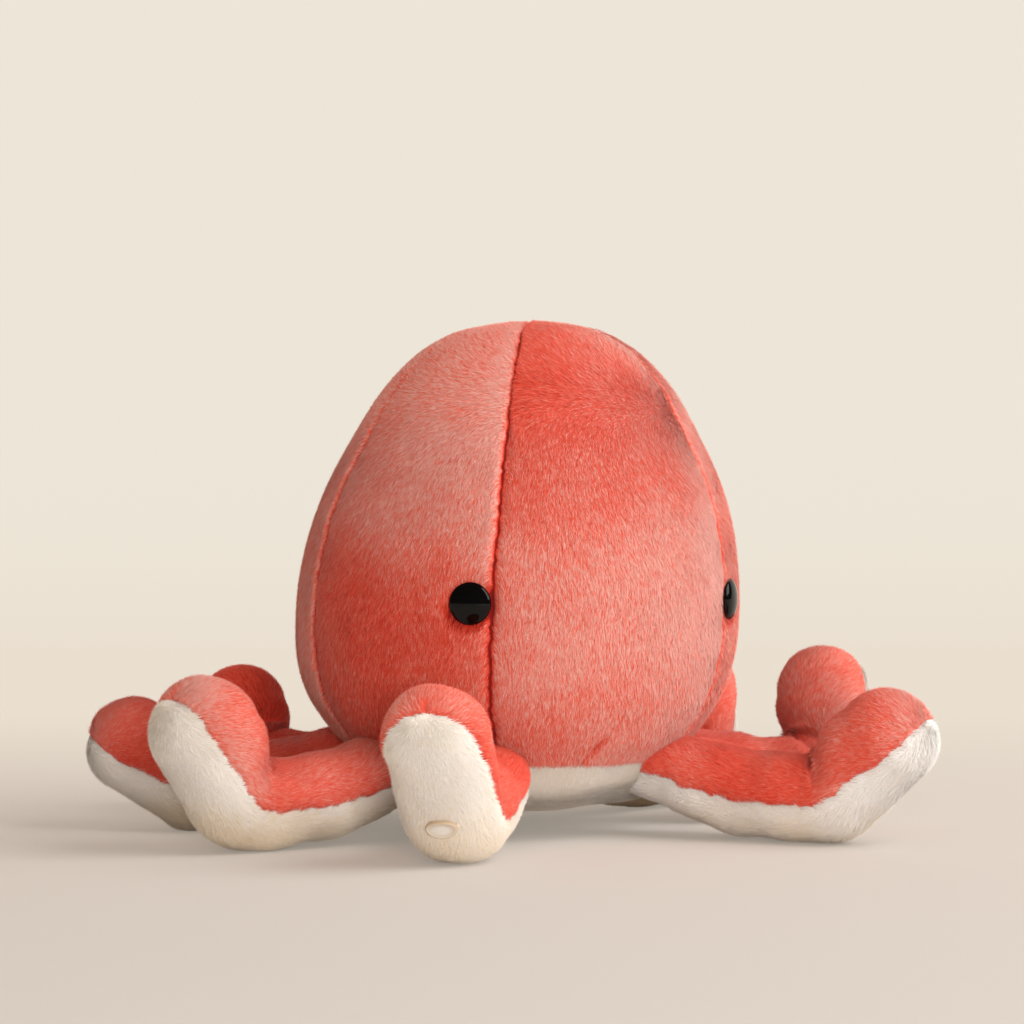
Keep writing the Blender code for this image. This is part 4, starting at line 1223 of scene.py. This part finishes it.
# %% The washers keep their frame shape
washer_plastic = new_material("eye_washer")[0]
shader = washer_plastic.node_tree.nodes["Principled BSDF"]
colour = mix_colour(washer_plastic.node_tree, (0.80, 0.80, 0.77, 1), (0.86, 0.86, 0.84, 1),
                    noise_node(washer_plastic.node_tree, 600.0, 2.0))
washer_plastic.node_tree.links.new(colour, shader.inputs["Base Color"])
shader.inputs["Roughness"].default_value = 0.5
for label in eyes:
    node = frame["nodes"]["eye_washer_" + label]
    node.data.materials.clear()
    node.data.materials.append(washer_plastic)
print("washers finished")

# %% [markdown]
# ## The patch
# A small oval of smooth woven cloth lies on the cream face of one raised end, with a turned rim.

# %% Patch
PATCH_WIDTH, PATCH_HEIGHT = 10.2 * MM, 6.6 * MM
PATCH_RINGS = (
    (1.0, -1.4), (1.02, -0.1), (0.99, 0.3), (0.93, 0.42), (0.87, 0.32), (0.82, 0.1), (0.4, 0.15), (0.0, 0.2),
)


def patch_piece():
    """An oval on the outer side of the first raised end, at a third of its length."""
    stations, facts = limbs[1]
    aim = arms[1]["elbow"] + (facts["bulb"] - arms[1]["elbow"]) * 0.36
    aim = aim - stations[-1][2] * ARM_HEIGHT / 2
    spot = min(stations, key=lambda s: np.linalg.norm(s[0] - s[2] * s[4] - aim))
    centre, side, up, w, h = spot[:5]
    out, along = -up, np.cross(side, up)
    rings, turns = [], np.linspace(0, math.tau, 48, endpoint=False)
    for share, lift in PATCH_RINGS:
        x = share * PATCH_WIDTH / 2 * np.cos(turns)
        y = share * PATCH_HEIGHT / 2 * np.sin(turns)
        depth = h * np.sqrt(1 - (x / w) ** 2) + lift * MM
        rings.append(centre + np.outer(x, side) + np.outer(y, along) + np.outer(depth, out))
    grid = np.array([np.vstack((r, r[:1])) for r in rings])
    bare = np.zeros(grid.shape[:2])
    rim = bare + np.array([1.0, 1.0, 1.0, 0.6, 0.3, 0.6, 0.0, 0.0])[:, None]
    mesh = cloth_mesh("patch", grid, np.zeros_like(grid), bare, bare, rim)
    work = bmesh.new()
    work.from_mesh(mesh)
    bmesh.ops.remove_doubles(work, verts=work.verts, dist=1e-6)
    bmesh.ops.recalc_face_normals(work, faces=work.faces)
    work.to_mesh(mesh)
    work.free()
    return new_object("woven_patch", mesh)


patch_cloth, weave, shader = new_material("patch_white")
colour = mix_colour(weave, (0.74, 0.70, 0.64, 1), (0.84, 0.81, 0.77, 1), noise_node(weave, 2500.0, 1.0))
colour = mix_colour(weave, colour, (0.60, 0.45, 0.30, 1), attribute(weave, "tone"))
weave.links.new(colour, shader.inputs["Base Color"])
shader.inputs["Roughness"].default_value = 0.8
patch = patch_piece()
patch.data.materials.append(patch_cloth)
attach(patch, "tip1")
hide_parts("tip_patch")
print("patch:", len(patch.data.polygons), "faces")

# %% [markdown]
# ## Floor, backdrop and light
# The toy stands on a pale paper sweep: a floor that curves up into a backdrop, with no edge
# behind the toy. One large soft lamp from the upper right gives the modelling and a shadow to
# the left. A small lamp near the camera fills the shadows, and a warm all-round light colours
# them.

# %% Sweep
def sweep():
    """The paper, which is lighter toward the toy's back. To the camera and in reflections it partly glows:
    painted light that lifts the shadows near the toy and turns into an evenly bright backdrop far behind.
    """
    depth, rise, bend = 2.2, 2.4, 0.9
    line = [(-2.5, 0.0), (depth - bend, 0.0)]
    turns = np.linspace(0, math.pi / 2, 24)[1:]
    line += [(depth - bend + bend * math.sin(a), bend - bend * math.cos(a)) for a in turns]
    line.append((depth, rise + bend))
    verts, faces = [], []
    for d, z in line:
        for s in (-4.0, 4.0):
            p = HEAD_AXIS - back * d + right * s + UP * z
            verts.append(tuple(p))
    for k in range(len(line) - 1):
        faces.append((2 * k, 2 * k + 1, 2 * k + 3, 2 * k + 2))
    mesh = bpy.data.meshes.new("sweep")
    mesh.from_pydata(verts, [], faces)
    mesh.shade_smooth()
    obj = new_object("sweep", mesh)
    mat, tree, shader = new_material("paper_sweep")
    shader.inputs["Base Color"].default_value = (0.73, 0.672, 0.628, 1)
    shader.inputs["Roughness"].default_value = 0.9
    shader.inputs["Specular IOR Level"].default_value = 0.2
    away = tree.nodes.new("ShaderNodeVectorMath")
    away.operation = "DOT_PRODUCT"
    away.inputs[1].default_value = tuple(-back)
    tree.links.new(tree.nodes.new("ShaderNodeTexCoord").outputs["Object"], away.inputs[0])

    def from_to(near, far):
        node = tree.nodes.new("ShaderNodeMapRange")
        node.interpolation_type = "SMOOTHSTEP"
        tree.links.new(away.outputs["Value"], node.inputs["Value"])
        node.inputs["From Min"].default_value = near
        node.inputs["From Max"].default_value = far
        return node.outputs["Result"]

    glow = tree.nodes.new("ShaderNodeEmission")
    paper = mix_colour(tree, (0.680, 0.609, 0.538, 1), (0.825, 0.735, 0.625, 1), from_to(-0.3, 0.12))
    paper = mix_colour(tree, paper, (0.847, 0.790, 0.687, 1), from_to(1.2, 1.9))
    tree.links.new(paper, glow.inputs["Color"])
    seen = tree.nodes.new("ShaderNodeLightPath").outputs
    looked_at = math_node(tree, "ADD", seen["Is Camera Ray"], seen["Is Glossy Ray"], clamp=True)
    looked_at = math_node(tree, "ADD", looked_at, seen["Is Transmission Ray"], clamp=True)
    # the share of painted glow: about a third near the toy, which lightens its shadow, and all of it far
    # behind
    even = math_node(tree, "MULTIPLY_ADD", from_to(-0.05, 0.6), 0.68)
    even.node.inputs[2].default_value = 0.32
    share = math_node(tree, "MULTIPLY", looked_at, even)
    mixed = tree.nodes.new("ShaderNodeMixShader")
    tree.links.new(share, mixed.inputs[0])
    tree.links.new(shader.outputs[0], mixed.inputs[1])
    tree.links.new(glow.outputs[0], mixed.inputs[2])
    tree.links.new(mixed.outputs[0], tree.nodes["Material Output"].inputs["Surface"])
    mesh.materials.append(mat)
    return obj


floor = sweep()
print("sweep:", len(floor.data.polygons), "faces")

# %% Lights
def area_light(name, at, target, size, power, colour):
    """A square lamp that looks at the target."""
    data = bpy.data.lights.new(name, "AREA")
    data.size = size
    data.energy = power
    data.color = colour
    obj = new_object(name, data)
    obj.location = Vector(at)
    obj.rotation_euler = (Vector(at) - Vector(target)).to_track_quat("Z", "Y").to_euler()
    return obj


middle = HEAD_AXIS + UP * 0.08
key = area_light("key", middle + right * 1.3 + back * 0.52 + UP * 0.98, middle, 1.4, 28.0, (0.985, 1.0, 1.01))
beside_camera = middle + right * 0.35 + back * 2.15 + UP * 0.2
fill = area_light("fill", beside_camera, middle, 0.7, 22.0, (1.0, 0.97, 0.92))
fill.visible_glossy = False
world = bpy.data.worlds.new("studio")
bpy.context.scene.world = world
world.use_nodes = True
sky = world.node_tree.nodes["Background"]
sky.inputs["Color"].default_value = (1.0, 0.87, 0.72, 1)
glossy = world.node_tree.nodes.new("ShaderNodeLightPath").outputs["Is Glossy Ray"]
strength = math_node(world.node_tree, "MULTIPLY_ADD", glossy, -0.38, 0.45)
world.node_tree.links.new(strength, sky.inputs["Strength"])
bpy.context.scene.view_settings.view_transform = "Standard"

# %% [markdown]
# ## Finish
# The tuft was only a pattern, so it goes, and so does the pile's node tree. The count of
# triangles in all pieces is printed.

# %% Finish
bpy.data.objects.remove(blade)
bpy.data.node_groups.remove(tree)
print("triangles in all:", sum(grown.values()))
